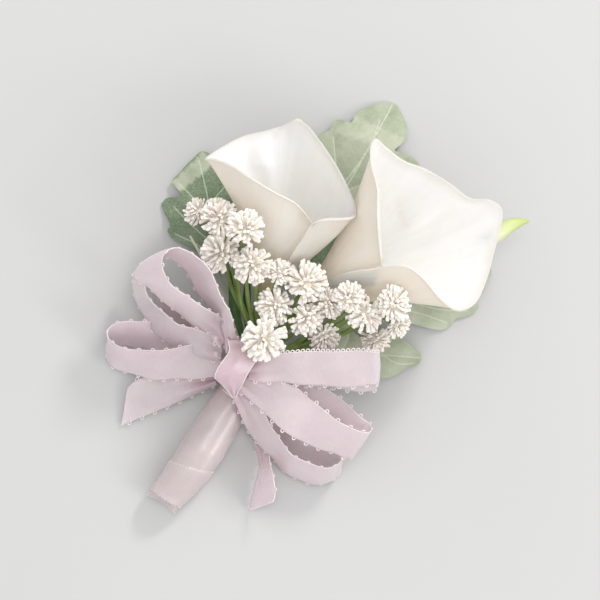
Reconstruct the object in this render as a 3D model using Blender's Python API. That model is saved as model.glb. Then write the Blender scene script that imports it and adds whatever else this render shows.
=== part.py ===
"""Calla lily corsage: two lilies with filler flowers and leaves, a wrapped handle and a ribbon bow.

The corsage lies on a surface and is seen from above. Its pieces are drawn across that view in
millimetres, x to the right and y up from the middle of the bow, z up off the surface. The drawing
is then turned by STEM_TURN, so that the handle lies along -Y and the flowers along +Y.
"""

import math

import bmesh
import bpy
import numpy as np
from mathutils import Vector
from mathutils.geometry import delaunay_2d_cdt

MM = 0.001
STEM_TURN = math.radians(33)
GAP = 0.3

RIBBON_WIDTH = 12.0
RIBBON_THICK = 0.6
LEAF_THICK = 0.7
SPATHE_THICK = 1.3

# The tie, where the handle's axis passes under the bow: the frame's origin lies below it
TIE = (3.0, -2.0)
HANDLE_WALL = 0.8
HANDLE_SIDES = 18
HANDLE_FLAT = 0.8
# Along the handle, its half width and its middle across, with a step where a turn of ribbon ends
HANDLE_PROFILE = [(4.0, 5.9, 0.0), (-4.0, 5.9, 0.0), (-11.0, 5.9, 0.0), (-18.0, 6.3, 0.2), (-26.0, 6.6, 0.4),
                  (-32.6, 6.4, 0.4), (-33.0, 6.1, 0.4), (-39.0, 5.9, 0.0), (-45.3, 5.3, -0.9)]
# The end fold: along the handle, half width, half height and middle across
END_FOLD = [(-40.6, 3.9, 3.6, -0.2), (-45.2, 3.8, 3.4, -0.9), (-46.0, 4.8, 2.2, -1.0),
            (-47.5, 4.9, 0.7, -1.2)]

# Across the handle and up from the surface, where each stem runs inside the wrap
LILY_STEM_SLOTS = {"left": (-2.0, 5.2), "right": (2.0, 5.2)}
SPRAY_SLOTS = {"left": (-2.9, 7.72), "middle": (-1.0, 8.3), "centre": (1.0, 8.3), "right": (2.85, 7.8)}
LEAF_SLOTS = {"left": (-2.9, 2.6), "top": (-1.0, 2.4), "right": (1.0, 2.4), "low": (2.9, 2.6)}
STEM_START = -38.0

COLOURS = {
    "lily_white": (0.93, 0.89, 0.84),
    "lily_tip_green": (0.66, 0.74, 0.32),
    "lily_stem_green": (0.36, 0.40, 0.20),
    "spadix_yellow": (0.85, 0.66, 0.20),
    "leaf_sage": (0.42, 0.50, 0.34),
    "filler_white": (0.86, 0.80, 0.73),
    "filler_green": (0.22, 0.36, 0.10),
    "ribbon_lavender": (0.68, 0.54, 0.61),
    "wrap_pearl": (0.70, 0.60, 0.60),
}

# Each rim runs from the flap that tucks under, round the back and the point, to the flap on top.
# An entry is the angle round the throat in degrees, then x, y and z.
LEFT_RIM = [
    (62, 25.2, 38.6, 29.0), (78, 23.4, 41.6, 31.8), (92, 21.4, 44.6, 34.4), (106, 17.4, 49.2, 36.6),
    (124, 11.1, 52.5, 37.6), (142, 4.2, 56.7, 37.0), (160, -2.2, 60.8, 34.0), (174, -7.0, 62.6, 30.5),
    (184, -9.4, 62.9, 27.6), (196, -5.0, 66.2, 25.0), (212, 2.0, 69.9, 23.0), (228, 8.6, 71.4, 21.6),
    (244, 13.6, 73.0, 22.0), (256, 17.3, 74.5, 24.0), (268, 20.6, 72.9, 25.4), (288, 24.8, 67.5, 28.0),
    (308, 28.4, 62.0, 30.6), (328, 31.4, 56.5, 33.0), (346, 34.0, 50.6, 34.4), (362, 35.0, 46.8, 33.0),
    (376, 33.9, 45.2, 35.2), (392, 30.0, 44.7, 38.4), (412, 25.2, 44.4, 39.6), (436, 22.3, 42.9, 38.8),
]
RIGHT_RIM = [
    (62, 40.2, 25.6, 30.0), (78, 41.6, 28.2, 33.0), (92, 42.6, 31.6, 35.8), (106, 42.2, 36.9, 38.4),
    (124, 41.6, 45.6, 40.6), (142, 41.4, 53.4, 41.6), (160, 39.9, 60.2, 41.8), (174, 39.6, 65.6, 41.2),
    (184, 40.8, 67.9, 40.4), (194, 43.4, 65.8, 38.4), (210, 49.0, 61.8, 35.4), (228, 55.6, 59.4, 33.0),
    (244, 62.6, 55.4, 30.6), (258, 69.0, 51.0, 28.6), (270, 74.4, 50.6, 28.8), (282, 78.3, 48.0, 27.6),
    (298, 77.9, 41.6, 26.4), (314, 76.2, 35.6, 26.2), (332, 74.2, 28.2, 27.2), (350, 70.6, 20.4, 29.4),
    (364, 65.4, 18.0, 31.6), (380, 60.2, 21.2, 34.2), (398, 54.9, 27.2, 37.6), (414, 49.8, 30.8, 39.4),
    (436, 42.8, 30.8, 38.4),
]

# Throat rings from the stem outwards: centre x, y, z, radius, heading in the view and climb in degrees
LEFT_THROAT = [((7.2, 23.5, 12.5), 2.6, 80, 18), ((9.4, 33.0, 17.0), 6.0, 78, 26),
               ((13.4, 41.5, 21.5), 11.4, 70, 30)]
RIGHT_THROAT = [((20.5, 19.2, 12.0), 2.6, 42, 18), ((30.0, 26.4, 16.6), 6.4, 38, 26),
                ((42.4, 33.4, 22.0), 12.0, 30, 30)]

LEFT_TIP = [(17.2, 72.2, 21.4), (17.8, 73.4, 18.0), (17.0, 72.4, 14.0), (16.0, 70.4, 11.6)]
RIGHT_TIP = [(75.0, 39.2, 22.0), (79.0, 41.2, 20.8), (83.4, 43.2, 20.2), (87.0, 44.6, 20.4)]
TIP_RADII = (2.2, 2.3, 1.5, 0.5)

# Filler heads: x, y, z, radius, and the way each faces: heading in the view and climb
FILLER_HEADS = {
    "left": [
        (-11.9, 47.3, 22.0, 3.8, 150, 35), (-5.5, 45.6, 27.0, 5.0, 110, 60),
        (2.4, 42.0, 36.6, 5.0, 80, 60), (-4.9, 35.1, 28.0, 5.3, 160, 60),
    ],
    "middle": [
        (4.4, 31.5, 30.2, 5.2, 250, 70), (12.4, 29.0, 30.0, 3.7, 70, 60),
        (11.3, 19.4, 27.4, 5.0, 210, 65), (7.8, 9.6, 29.4, 5.9, 270, 75),
    ],
    "centre": [
        (20.4, 26.2, 29.6, 5.6, 60, 60), (20.4, 15.7, 27.0, 4.7, 300, 65), (27.4, 20.0, 28.0, 4.1, 30, 55),
    ],
    "right": [
        (33.2, 21.6, 32.4, 4.3, 110, 65), (37.9, 17.0, 30.6, 4.9, 240, 72), (46.0, 19.8, 34.6, 4.7, 20, 55),
        (47.6, 13.6, 25.4, 3.5, 330, 40), (41.2, 9.2, 20.0, 4.0, 290, 45), (25.7, 10.0, 23.4, 4.1, 290, 62),
    ],
}
FLORETS = 14
FLORET_SEED = 5

# Each leaf: the line of its midrib, its outline, and how far its edges droop below the midrib
LEAVES = {
    "left": {
        "midrib": [(-6.4, 30.0, 5.4), (-8.4, 42.0, 5.8), (-10.0, 54.0, 4.6), (-12.6, 64.4, 2.4)],
        "outline": [
            (-5.0, 29.4), (-1.5, 36.0), (1.0, 42.0), (1.4, 47.0), (0.0, 52.0), (-3.2, 57.0), (-6.2, 61.4),
            (-7.5, 64.2), (-11.4, 66.7), (-14.6, 64.0), (-18.0, 60.4), (-20.7, 57.1), (-18.4, 54.4),
            (-17.6, 52.8), (-22.4, 52.2), (-24.0, 50.5), (-23.0, 47.8), (-21.5, 45.2), (-21.2, 43.4),
            (-22.0, 42.4), (-21.0, 40.6), (-17.1, 38.2), (-13.5, 36.0), (-9.6, 32.4), (-7.4, 29.4),
        ],
        "droop": 6.4,
    },
    "top": {
        "midrib": [(17.4, 28.4, 5.2), (26.0, 44.0, 5.8), (36.0, 61.0, 5.4), (47.0, 81.0, 0.3)],
        "outline": [
            (16.2, 28.8), (15.4, 36.0), (14.8, 43.0), (14.0, 50.0), (16.4, 56.6), (20.0, 60.4), (21.6, 66.0),
            (23.6, 70.6), (25.6, 72.2), (27.8, 73.2), (28.6, 75.4), (30.6, 76.4), (32.6, 75.8), (34.2, 75.4),
            (35.8, 78.2), (38.6, 80.0), (42.0, 81.2), (45.6, 81.9), (48.0, 81.2), (49.8, 78.4), (51.2, 74.8),
            (51.3, 71.6), (49.8, 69.0), (47.6, 66.9), (50.4, 66.1), (53.2, 64.8), (55.3, 62.2), (54.2, 59.4),
            (50.8, 57.2), (48.0, 56.2), (49.8, 52.0), (48.2, 48.0), (43.0, 44.6), (36.6, 40.6), (31.0, 36.2),
            (24.6, 31.4), (19.0, 27.6),
        ],
        "droop": 3.4,
    },
    "right": {
        "midrib": [(31.0, 12.0, 5.4), (46.0, 18.4, 5.6), (62.0, 24.4, 3.6), (77.0, 30.2, 0.8)],
        "outline": [
            (31.4, 10.6), (36.0, 12.8), (42.0, 14.4), (49.0, 14.5), (54.0, 13.5), (58.6, 12.3), (62.4, 11.9),
            (65.0, 13.1), (66.4, 15.2), (69.2, 15.8), (72.2, 17.0), (73.6, 18.9), (71.6, 21.0), (73.6, 22.2),
            (75.0, 23.8), (76.2, 26.6), (77.4, 29.4), (77.0, 31.4), (75.0, 32.6), (71.0, 34.6), (67.0, 35.4),
            (62.4, 33.0), (57.0, 34.8), (51.6, 33.2), (46.6, 29.0), (41.0, 24.4), (35.6, 18.6), (30.6, 13.2),
        ],
        "droop": 7.0,
    },
    "low": {
        "midrib": [(18.0, 3.4, 2.9), (30.0, 4.6, 3.5), (43.0, 4.2, 3.9), (55.8, 3.2, 3.0)],
        "outline": [
            (17.6, 2.2), (21.6, 0.2), (26.0, -1.8), (31.0, -3.0), (36.4, -3.6), (41.2, -3.0), (46.2, -2.7),
            (49.2, -1.4), (51.8, 0.4), (54.4, 0.9), (55.6, 2.2), (55.8, 3.9), (53.8, 5.9), (50.6, 8.8),
            (48.6, 10.7), (44.4, 10.4), (40.6, 9.4), (37.8, 9.0), (35.6, 10.8), (32.4, 12.3), (28.6, 12.3),
            (25.4, 10.8), (21.8, 7.4), (18.2, 4.6),
        ],
        "droop": 2.2,
    },
}

# Slim blades: points along each, then its width at the middle
BLADES = {
    "blade_pale": ([(0.4, 7.2, 9.6), (-4.4, 20.0, 12.4), (-9.6, 31.6, 15.4), (-14.7, 40.4, 13.4)], 1.8),
    "blade_dark_left": ([(2.0, 6.4, 7.7), (-1.2, 17.0, 8.6), (-2.2, 26.0, 9.6), (-4.4, 34.0, 11.4)], 3.0),
    "blade_dark_middle": ([(3.0, 9.4, 6.4), (2.4, 18.0, 7.6), (2.6, 26.0, 9.6), (3.4, 34.0, 12.6)], 2.4),
}

# Bow loops: the middle of the root and of the far end, the roll in degrees, the breadth of the loop,
# and how much of its length it takes to reach the far end's height
LOOPS = {
    "bow_loop_left_upper": ((-3.2, 5.0, 20.0), (-24.6, 32.8, 30.6), 30, 19.0, 0.6),
    "bow_loop_left_middle": ((-4.6, 2.8, 14.8), (-30.3, 25.4, 14.6), 14, 9.0, 1.0),
    "bow_loop_left_lower": ((-4.8, -1.4, 12.2), (-40.0, 6.4, 8.8), 42, 15.0, 0.5),
    "bow_loop_right_upper": ((3.4, 0.8, 24.8), (41.4, 0.2, 28.4), -70, 6.0, 1.0),
    "bow_loop_right_middle": ((3.4, -3.4, 19.4), (34.8, -22.6, 18.0), -74, 12.0, 0.6),
    "bow_loop_right_lower": ((-0.2, -8.2, 16.0), (26.4, -31.4, 8.0), -34, 9.5, 0.4),
}
# Bands: a place along each, its width there, and the way its width runs in the view and up
KNOT = [(2.7, 9.0, 20.0, 7.6, 8, 0), (1.8, 5.6, 25.8, 9.4, 8, 0), (-0.6, 1.0, 27.8, 10.4, 14, 0),
        (-2.2, -2.6, 26.6, 9.6, 14, 0), (-1.9, -6.8, 22.4, 5.6, 14, 0), (-1.2, -10.4, 19.6, 2.4, 14, 0)]
TAILS = {
    "bow_tail_left": [
        (-8.4, -3.4, 6.4, 5.0, 110, 8), (-13.0, -5.3, 3.2, 8.6, 113, 4), (-20.0, -6.8, 2.0, 11.6, 113, 2),
        (-28.0, -9.0, 1.6, 12.0, 115, 1), (-32.6, -10.4, 1.4, 14.6, 66, 1),
    ],
    "bow_tail_right": [
        (6.5, -12.4, 5.0, 4.0, -20, 0), (6.8, -15.6, 1.5, 5.0, -10, 0), (7.2, -19.6, 1.0, 5.0, -10, 0),
        (7.9, -26.6, 1.4, 4.8, -8, 4), (8.2, -31.6, 6.0, 11.0, -10, 56), (7.8, -36.0, 6.0, 12.0, -16, 58),
        (6.6, -42.4, 5.2, 12.0, -10, 50),
    ],
}
LOOP_STEPS = 24


def turned(point):
    """A drawn point in millimetres, as a place on the corsage in metres."""
    x, y, z = point
    x, y = x - TIE[0], y - TIE[1]
    c, s = math.cos(STEM_TURN), math.sin(STEM_TURN)
    return Vector((x * c - y * s, x * s + y * c, z)) * MM


def across(offset, along, height):
    """A drawn point that lies so far across and along the handle from the tie."""
    c, s = math.cos(STEM_TURN), math.sin(STEM_TURN)
    return Vector((TIE[0] + offset * c + along * s, TIE[1] + along * c - offset * s, height))


def clear_scene():
    for obj in list(bpy.data.objects):
        bpy.data.objects.remove(obj, do_unlink=True)


def material(slot):
    """One Principled material for each finish."""
    found = bpy.data.materials.get(slot)
    if found:
        return found
    made = bpy.data.materials.new(slot)
    made.use_nodes = True
    shader = made.node_tree.nodes["Principled BSDF"]
    shader.inputs["Base Color"].default_value = (*COLOURS[slot], 1)
    shader.inputs["Roughness"].default_value = 0.4 if slot in ("ribbon_lavender", "wrap_pearl") else 0.7
    shader.inputs["Metallic"].default_value = 0
    return made


def link(name, mesh, slot):
    mesh.materials.append(material(slot))
    obj = bpy.data.objects.new(name, mesh)
    bpy.context.scene.collection.objects.link(obj)
    mesh.shade_smooth()
    mesh.set_sharp_from_angle(angle=math.radians(50))
    return obj


def mesh_of(name, points, faces):
    """A mesh from drawn points, with its faces pointing out of the closed body."""
    mesh = bpy.data.meshes.new(name)
    mesh.from_pydata([turned(p) for p in points], [], faces)
    bm = bmesh.new()
    bm.from_mesh(mesh)
    bmesh.ops.recalc_face_normals(bm, faces=bm.faces)
    bm.to_mesh(mesh)
    bm.free()
    return mesh


def sheet(name, rows, thick, slot):
    """A thin sheet through rows of points, split alike on both faces and closed by Solidify."""
    columns = len(rows[0])
    points = [p for row in rows for p in row]
    faces = []
    for r in range(len(rows) - 1):
        for c in range(columns - 1):
            a = r * columns + c
            faces.append((a, a + 1, a + columns + 1))
            faces.append((a, a + columns + 1, a + columns))
    obj = link(name, mesh_of(name, points, faces), slot)
    solidify = obj.modifiers.new("Thickness", "SOLIDIFY")
    solidify.thickness = thick * MM
    solidify.offset = 0
    solidify.use_even_offset = False
    return obj


def smooth_points(points, count):
    """Places spread evenly along a smooth curve through the given ones; values after x, y, z follow."""
    knots = np.array(points, float)
    lengths = np.linalg.norm(np.diff(knots[:, :3], axis=0), axis=1)
    reached = np.concatenate([[0], np.cumsum(lengths)])
    slopes = np.gradient(knots, reached, axis=0)
    out = []
    for s in np.linspace(0, reached[-1], count):
        k = min(int(np.searchsorted(reached, s, side="right")) - 1, len(knots) - 2)
        t = (s - reached[k]) / lengths[k]
        out.append(knots[k] * (1 - 3 * t ** 2 + 2 * t ** 3) + knots[k + 1] * (3 * t ** 2 - 2 * t ** 3)
                   + lengths[k] * (slopes[k] * (t - 2 * t ** 2 + t ** 3) + slopes[k + 1] * (t ** 3 - t ** 2)))
    return [Vector(p) for p in out]


def rod_mesh(name, centres, radii, sides):
    """A round rod through its centres, with flat ends."""
    points, faces = [], []
    side_way = None
    for i, centre in enumerate(centres):
        ahead = centres[min(i + 1, len(centres) - 1)] - centres[max(i - 1, 0)]
        ahead.normalize()
        if side_way is None:
            side_way = ahead.cross(Vector((0, 0, 1)) if abs(ahead.z) < 0.9 else Vector((1, 0, 0)))
        side_way = (side_way - ahead * side_way.dot(ahead)).normalized()
        up_way = ahead.cross(side_way)
        for s in range(sides):
            angle = math.tau * s / sides
            points.append(centre + (side_way * math.cos(angle) + up_way * math.sin(angle)) * radii[i])
    for i in range(len(centres) - 1):
        for s in range(sides):
            a, b = i * sides + s, i * sides + (s + 1) % sides
            faces.append((a, b, b + sides, a + sides))
    faces.append(tuple(range(sides)))
    faces.append(tuple(range(len(points) - sides, len(points))))
    return mesh_of(name, points, faces)


def united(name, meshes, slot):
    """One solid from several that overlap, by a Boolean union on a collection."""
    whole = link(name, meshes[0], slot)
    others = bpy.data.collections.new(name + "_parts")
    bpy.context.scene.collection.children.link(others)
    for mesh in meshes[1:]:
        others.objects.link(bpy.data.objects.new(mesh.name, mesh))
    union = whole.modifiers.new("Union", "BOOLEAN")
    union.operation = "UNION"
    union.operand_type = "COLLECTION"
    union.collection = others
    union.solver = "EXACT"
    view = bpy.context.evaluated_depsgraph_get()
    joined = bpy.data.meshes.new_from_object(whole.evaluated_get(view))
    whole.modifiers.remove(union)
    whole.data = joined
    for obj in list(others.objects):
        bpy.data.objects.remove(obj, do_unlink=True)
    bpy.data.collections.remove(others)
    return whole


def ring_frame(heading, climb):
    """The right, upper and forward directions of a throat ring."""
    h, c = math.radians(heading), math.radians(climb)
    forward = Vector((math.cos(h) * math.cos(c), math.sin(h) * math.cos(c), math.sin(c)))
    right = Vector((math.sin(h), -math.cos(h), 0))
    return right, right.cross(forward), forward


def rim_point(rim, angle):
    """The rim at an angle, by a Catmull-Rom curve over the listed points."""
    k = 0
    while k < len(rim) - 2 and rim[k + 1][0] < angle:
        k += 1
    picks = [np.array(rim[min(max(j, 0), len(rim) - 1)], float) for j in (k - 1, k, k + 1, k + 2)]
    (a, b, c, d), t = picks, (angle - rim[k][0]) / (rim[k + 1][0] - rim[k][0])
    slope_b = (c - b) if k == 0 else (c - a) / (c[0] - a[0]) * (c[0] - b[0])
    slope_c = (c - b) if k == len(rim) - 2 else (d - b) / (d[0] - b[0]) * (c[0] - b[0])
    place = (b * (1 - 3 * t ** 2 + 2 * t ** 3) + c * (3 * t ** 2 - 2 * t ** 3)
             + slope_b * (t - 2 * t ** 2 + t ** 3) + slope_c * (t ** 3 - t ** 2))
    return Vector(place[1:])


def eased(x):
    x = min(max(x, 0.0), 1.0)
    return x * x * (3 - 2 * x)


def spathe_rows(rim, throat, around, along):
    """The wrapped petal: rows from the stem to the rim, each from the inner flap to the outer."""
    first, last = rim[0][0], rim[-1][0]
    middle = (first + last) / 2
    rows = []
    for j in range(along + 1):
        v = j / along
        span = 350 + (last - first - 350) * eased((v - 0.2) / 0.6)
        spiral = 1.9 * eased(v / 0.3)
        row = []
        for i in range(around + 1):
            u = i / around
            controls = []
            for centre, radius, heading, climb in throat:
                right, upper, _ = ring_frame(heading, climb)
                angle = math.radians(middle + span * (u - 0.5))
                reach = radius + spiral * (u - 0.5)
                controls.append(Vector(centre) + (right * math.cos(angle) + upper * math.sin(angle)) * reach)
            controls.append(rim_point(rim, first + (last - first) * u))
            a, b, c, d = controls
            w = 1 - v
            row.append(a * w ** 3 + b * 3 * w * w * v + c * 3 * w * v * v + d * v ** 3)
        rows.append(row)
    return rows


def slot_path(slot, bends, count):
    """A stem's centres: straight inside the wrap, then on through its bends."""
    offset, height = slot
    inside = [tuple(across(offset, along, height)) for along in (STEM_START, -24, -10, 0, 5.5)]
    path = smooth_points(inside[-2:] + bends, count)
    return [Vector(inside[0]), Vector(inside[2]), *path]


def lily(side, rim, throat, tip):
    """One lily: the petal, the green point behind its rim, the yellow spike in its throat, its stem."""
    sheet(f"lily_{side}_spathe", spathe_rows(rim, throat, 32, 10), SPATHE_THICK, "lily_white")
    tip_mesh = rod_mesh("tip", smooth_points(tip, 7), np.interp(np.linspace(0, 3, 7), range(4), TIP_RADII), 8)
    link(f"lily_{side}_tip", tip_mesh, "lily_tip_green")
    base = Vector(throat[0][0])
    forward = ring_frame(throat[0][2], throat[0][3])[2]
    seat = base - forward * (GAP + 0.2)
    stem = slot_path(LILY_STEM_SLOTS[side], [tuple(seat - forward * 8), tuple(seat)], 10)
    link(f"lily_{side}_stem", rod_mesh("stem", stem, [1.7] * 12, 8), "lily_stem_green")
    spike = smooth_points([tuple(base + forward * 0.8), throat[1][0],
                           tuple(Vector(throat[1][0]).lerp(Vector(throat[2][0]), 0.8))], 7)
    radii = [1.3, 1.6, 1.8, 1.8, 1.7, 1.4, 0.7]
    link(f"lily_{side}_spadix", rod_mesh("spadix", spike, radii, 8), "spadix_yellow")


def facing(heading, climb):
    return ring_frame(heading, climb)[2]


def head(name, centre, radius, way, seed):
    """A round head of small club-shaped florets on a core, fused into one piece."""
    rng = np.random.default_rng(seed)
    core = rod_mesh("core", [centre - way * radius * 0.55, centre - way * radius * 0.1,
                             centre + way * radius * 0.3], [radius * 0.14, radius * 0.42, radius * 0.3], 6)
    side_way = way.orthogonal().normalized()
    other = way.cross(side_way)
    meshes = [core]
    for i in range(FLORETS):
        tilt = math.acos(1 - 1.15 * (i + 0.5) / FLORETS) * 1.02
        turn = i * math.pi * (3 - math.sqrt(5)) + rng.uniform(-0.15, 0.15)
        out = (side_way * math.cos(turn) + other * math.sin(turn)) * math.sin(tilt) + way * math.cos(tilt)
        start = centre + out * radius * 0.12
        end = centre + out * radius * rng.uniform(0.94, 1.04)
        meshes.append(rod_mesh("floret", [start, end], [0.3, 0.85], 4))
    return united(name, meshes, "filler_white")


def spray(name, heads):
    """One filler spray: a green stem that branches to its white heads."""
    offset, height = SPRAY_SLOTS[name]
    trunk = [across(offset, along, height) for along in (STEM_START, -10.0, 6.0)]
    rods = [rod_mesh("trunk", trunk, [0.78] * 3, 6)]
    for k, (x, y, z, radius, heading, climb) in enumerate(heads):
        way = facing(heading, climb)
        centre = Vector((x, y, z))
        seed = FLORET_SEED + 10 * list(FILLER_HEADS).index(name) + k
        head(f"filler_{name}_head_{k + 1}", centre, radius, way, seed)
        seat = centre - way * (radius * 0.55 + GAP)
        neck = seat - way * 3.0
        root, fork = across(offset, 2.6 - 0.4 * k, height), across(offset * 1.1, 6.4, height + 0.55)
        path = smooth_points([root, fork, fork.lerp(neck, 0.5), neck], 8) + [seat]
        rods.append(rod_mesh("branch", path, np.linspace(0.66 - 0.03 * k, 0.5, 9), 5))
    united(f"filler_{name}_stems", rods, "filler_green")


def leaf_height(shape, x, y):
    """The blade's height: the midrib's nearest point, less a droop that grows towards the edges."""
    line = smooth_points(shape["midrib"], 25)
    nearest = min(line, key=lambda p: (p.x - x) ** 2 + (p.y - y) ** 2)
    away = math.hypot(nearest.x - x, nearest.y - y)
    return max(nearest.z - shape["droop"] * (away / 16) ** 2, LEAF_THICK / 2)


def blade_mesh(name, shape, spacing):
    """The lobed blade: its outline filled with triangles over a grid of inner points."""
    outline = [Vector(p) for p in shape["outline"]]
    xs, ys = [p.x for p in outline], [p.y for p in outline]
    inner = []
    for gx in np.arange(min(xs), max(xs), spacing):
        for gy in np.arange(min(ys), max(ys), spacing):
            spot = Vector((gx, gy))
            if min((spot - p).length for p in outline) > spacing * 0.6:
                inner.append(spot)
    loop = list(range(len(outline)))
    flat, _, triangles, *_ = delaunay_2d_cdt(outline + inner, [], [loop], 1, 1e-5)
    heights = [leaf_height(shape, p.x, p.y) for p in flat]
    count = len(flat)
    points = [(p.x, p.y, z + LEAF_THICK / 2) for p, z in zip(flat, heights)]
    points += [(p.x, p.y, z - LEAF_THICK / 2) for p, z in zip(flat, heights)]
    faces = [tuple(t) for t in triangles] + [tuple(i + count for i in reversed(t)) for t in triangles]
    edges = {(t[k], t[(k + 1) % 3]) for t in triangles for k in range(3)}
    faces += [(b, a, a + count, b + count) for a, b in edges if (b, a) not in edges]
    return mesh_of(name, points, faces)


def leaf(name, shape):
    """A lobed leaf on its own stalk, which runs down inside the wrap."""
    line = smooth_points(shape["midrib"], 9)
    low = Vector((0, 0, LEAF_THICK * 0.4))
    path = slot_path(LEAF_SLOTS[name], [tuple(line[0] - low), tuple(line[2] - low)], 9)
    stalk = rod_mesh("stalk", path, [0.6] * 10 + [0.35], 5)
    united(f"leaf_{name}", [blade_mesh("blade", shape, 4.6), stalk], "leaf_sage")


def blade(name, points, width):
    """A slim blade that narrows to its tip."""
    rows = []
    line = smooth_points(points, 12)
    for i, centre in enumerate(line):
        ahead = (line[min(i + 1, 11)] - line[max(i - 1, 0)]).normalized()
        side_way = Vector((ahead.y, -ahead.x, 0)).normalized()
        half = width / 2 * (0.35 + 0.65 * math.sin(math.pi * min(i / 11 + 0.1, 1)))
        rows.append([centre - side_way * half, centre - Vector((0, 0, 0.25)), centre + side_way * half])
    sheet(name, rows, LEAF_THICK, "leaf_sage" if "pale" in name else "filler_green")


def handle_section(along, radius, middle, inset):
    """A round section that is flat where it lies on the surface."""
    points = []
    for s in range(HANDLE_SIDES):
        angle = math.tau * s / HANDLE_SIDES
        height = radius - HANDLE_FLAT + math.sin(angle) * (radius - inset)
        points.append(across(middle + math.cos(angle) * (radius - inset), along, max(height, inset)))
    return points


def joined_rings(rings):
    """Faces that join each ring of points to the next."""
    count = len(rings[0])
    faces = []
    for i in range(0, (len(rings) - 1) * count, count):
        for s in range(count):
            t = (s + 1) % count
            faces.append((i + s, i + t, i + t + count, i + s + count))
    return faces


def handle_wrap():
    """The ribbon wound round the stems, open at both ends."""
    rings = [handle_section(*place, 0) for place in HANDLE_PROFILE]
    rings += [handle_section(*place, HANDLE_WALL) for place in reversed(HANDLE_PROFILE)]
    rings.append(rings[0])
    points = [p for ring in rings[:-1] for p in ring]
    faces = [tuple(i % len(points) for i in face) for face in joined_rings(rings)]
    link("handle_wrap", mesh_of("handle_wrap", points, faces), "wrap_pearl")


def end_fold():
    """The ribbon folded over the cut stems and pinched flat at the handle's end."""
    sides = 12
    rings = []
    for along, half_width, half_height, middle in END_FOLD:
        ring = []
        for s in range(sides):
            angle = math.tau * s / sides
            aside = middle + math.cos(angle) * half_width
            ring.append(across(aside, along, 4.6 + math.sin(angle) * half_height))
        rings.append(ring)
    last = sides * (len(rings) - 1)
    faces = joined_rings(rings) + [tuple(range(sides)), tuple(range(last, last + sides))]
    points = [p for ring in rings for p in ring]
    link("handle_end_fold", mesh_of("handle_end_fold", points, faces), "wrap_pearl")


def loop_rows(root, end, roll, breadth, reach):
    """A ribbon loop: a teardrop path from the knot and back, swept across the ribbon's width."""
    root, end = Vector(root), Vector(end)
    span = end - root
    along = span.normalized()
    level = along.cross(Vector((0, 0, 1))).normalized()
    width_way = level.cross(along) * math.cos(math.radians(roll)) + level * math.sin(math.radians(roll))
    side_way = along.cross(width_way)
    rows = []
    for i in range(LOOP_STEPS + 1):
        s = math.tau * i / LOOP_STEPS
        out = (1 - math.cos(s)) / 2
        aside = breadth / 2 * math.sin(s) * (0.1 + 0.9 * math.sin(s / 2) ** 2)
        aside += 0.55 * (1 - out) * (1 if i < LOOP_STEPS / 2 else -1)
        centre = root + span * out + side_way * aside
        centre.z = root.z + span.z * (out if reach == 1 else eased(out / reach)) + side_way.z * aside
        half = RIBBON_WIDTH / 2 * (0.4 + 0.6 * eased(out * span.length / 13))
        rows.append([centre - width_way * half, centre, centre + width_way * half])
    return rows


def band_rows(places, steps):
    """A band of ribbon through its places, each with its own width and the way that width runs."""
    rows = []
    for x, y, z, width, heading, climb in smooth_points(places, steps):
        centre, way = Vector((x, y, z)), facing(heading, climb)
        rows.append([centre - way * width / 2, centre, centre + way * width / 2])
    return rows


def bow():
    """Six loops, two tails and the band across the middle."""
    for name, values in LOOPS.items():
        sheet(name, loop_rows(*values), RIBBON_THICK, "ribbon_lavender")
    for name, places in TAILS.items():
        sheet(name, band_rows(places, 13), RIBBON_THICK, "ribbon_lavender")
    sheet("bow_knot", band_rows(KNOT, 15), RIBBON_THICK, "ribbon_lavender")


def build():
    clear_scene()
    lily("left", LEFT_RIM, LEFT_THROAT, LEFT_TIP)
    lily("right", RIGHT_RIM, RIGHT_THROAT, RIGHT_TIP)
    for name, heads in FILLER_HEADS.items():
        spray(name, heads)
    for name, shape in LEAVES.items():
        leaf(name, shape)
    for name, (points, width) in BLADES.items():
        blade(name, points, width)
    handle_wrap()
    end_fold()
    bow()


build()
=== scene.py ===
import math

import bmesh
import bpy
import numpy as np
from mathutils import Matrix, Vector
from mathutils.geometry import delaunay_2d_cdt


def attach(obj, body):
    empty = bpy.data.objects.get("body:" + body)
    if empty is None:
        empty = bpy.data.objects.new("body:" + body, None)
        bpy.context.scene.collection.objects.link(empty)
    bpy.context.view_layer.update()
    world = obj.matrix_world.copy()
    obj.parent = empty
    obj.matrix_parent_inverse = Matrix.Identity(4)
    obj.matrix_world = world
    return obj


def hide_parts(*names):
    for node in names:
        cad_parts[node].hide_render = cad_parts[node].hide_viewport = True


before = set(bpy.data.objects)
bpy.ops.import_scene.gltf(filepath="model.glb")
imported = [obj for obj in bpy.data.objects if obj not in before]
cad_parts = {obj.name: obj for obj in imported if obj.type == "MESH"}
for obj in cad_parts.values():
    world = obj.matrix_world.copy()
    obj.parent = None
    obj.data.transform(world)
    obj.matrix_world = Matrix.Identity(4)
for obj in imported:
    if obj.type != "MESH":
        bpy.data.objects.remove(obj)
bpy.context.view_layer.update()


# ---- The surface, the light and the view -------------------------------------------------------
# The corsage lies on a plain pale surface and is seen from straight above, with the handle at the
# lower left. Points are drawn in millimetres as that view shows them, x right, y up, z off the surface.
MM = 0.001
STEM_TURN = math.radians(33)
TIE = (3.0, -2.0)
VIEW_MIDDLE = (18.6, 21.0, 20.0)
VIEW_DISTANCE = 0.75


def drawn(point):
    """A drawn point in millimetres, as a place on the corsage in metres."""
    x, y = point[0] - TIE[0], point[1] - TIE[1]
    c, s = math.cos(STEM_TURN), math.sin(STEM_TURN)
    return Vector((x * c - y * s, x * s + y * c, point[2])) * MM


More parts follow.
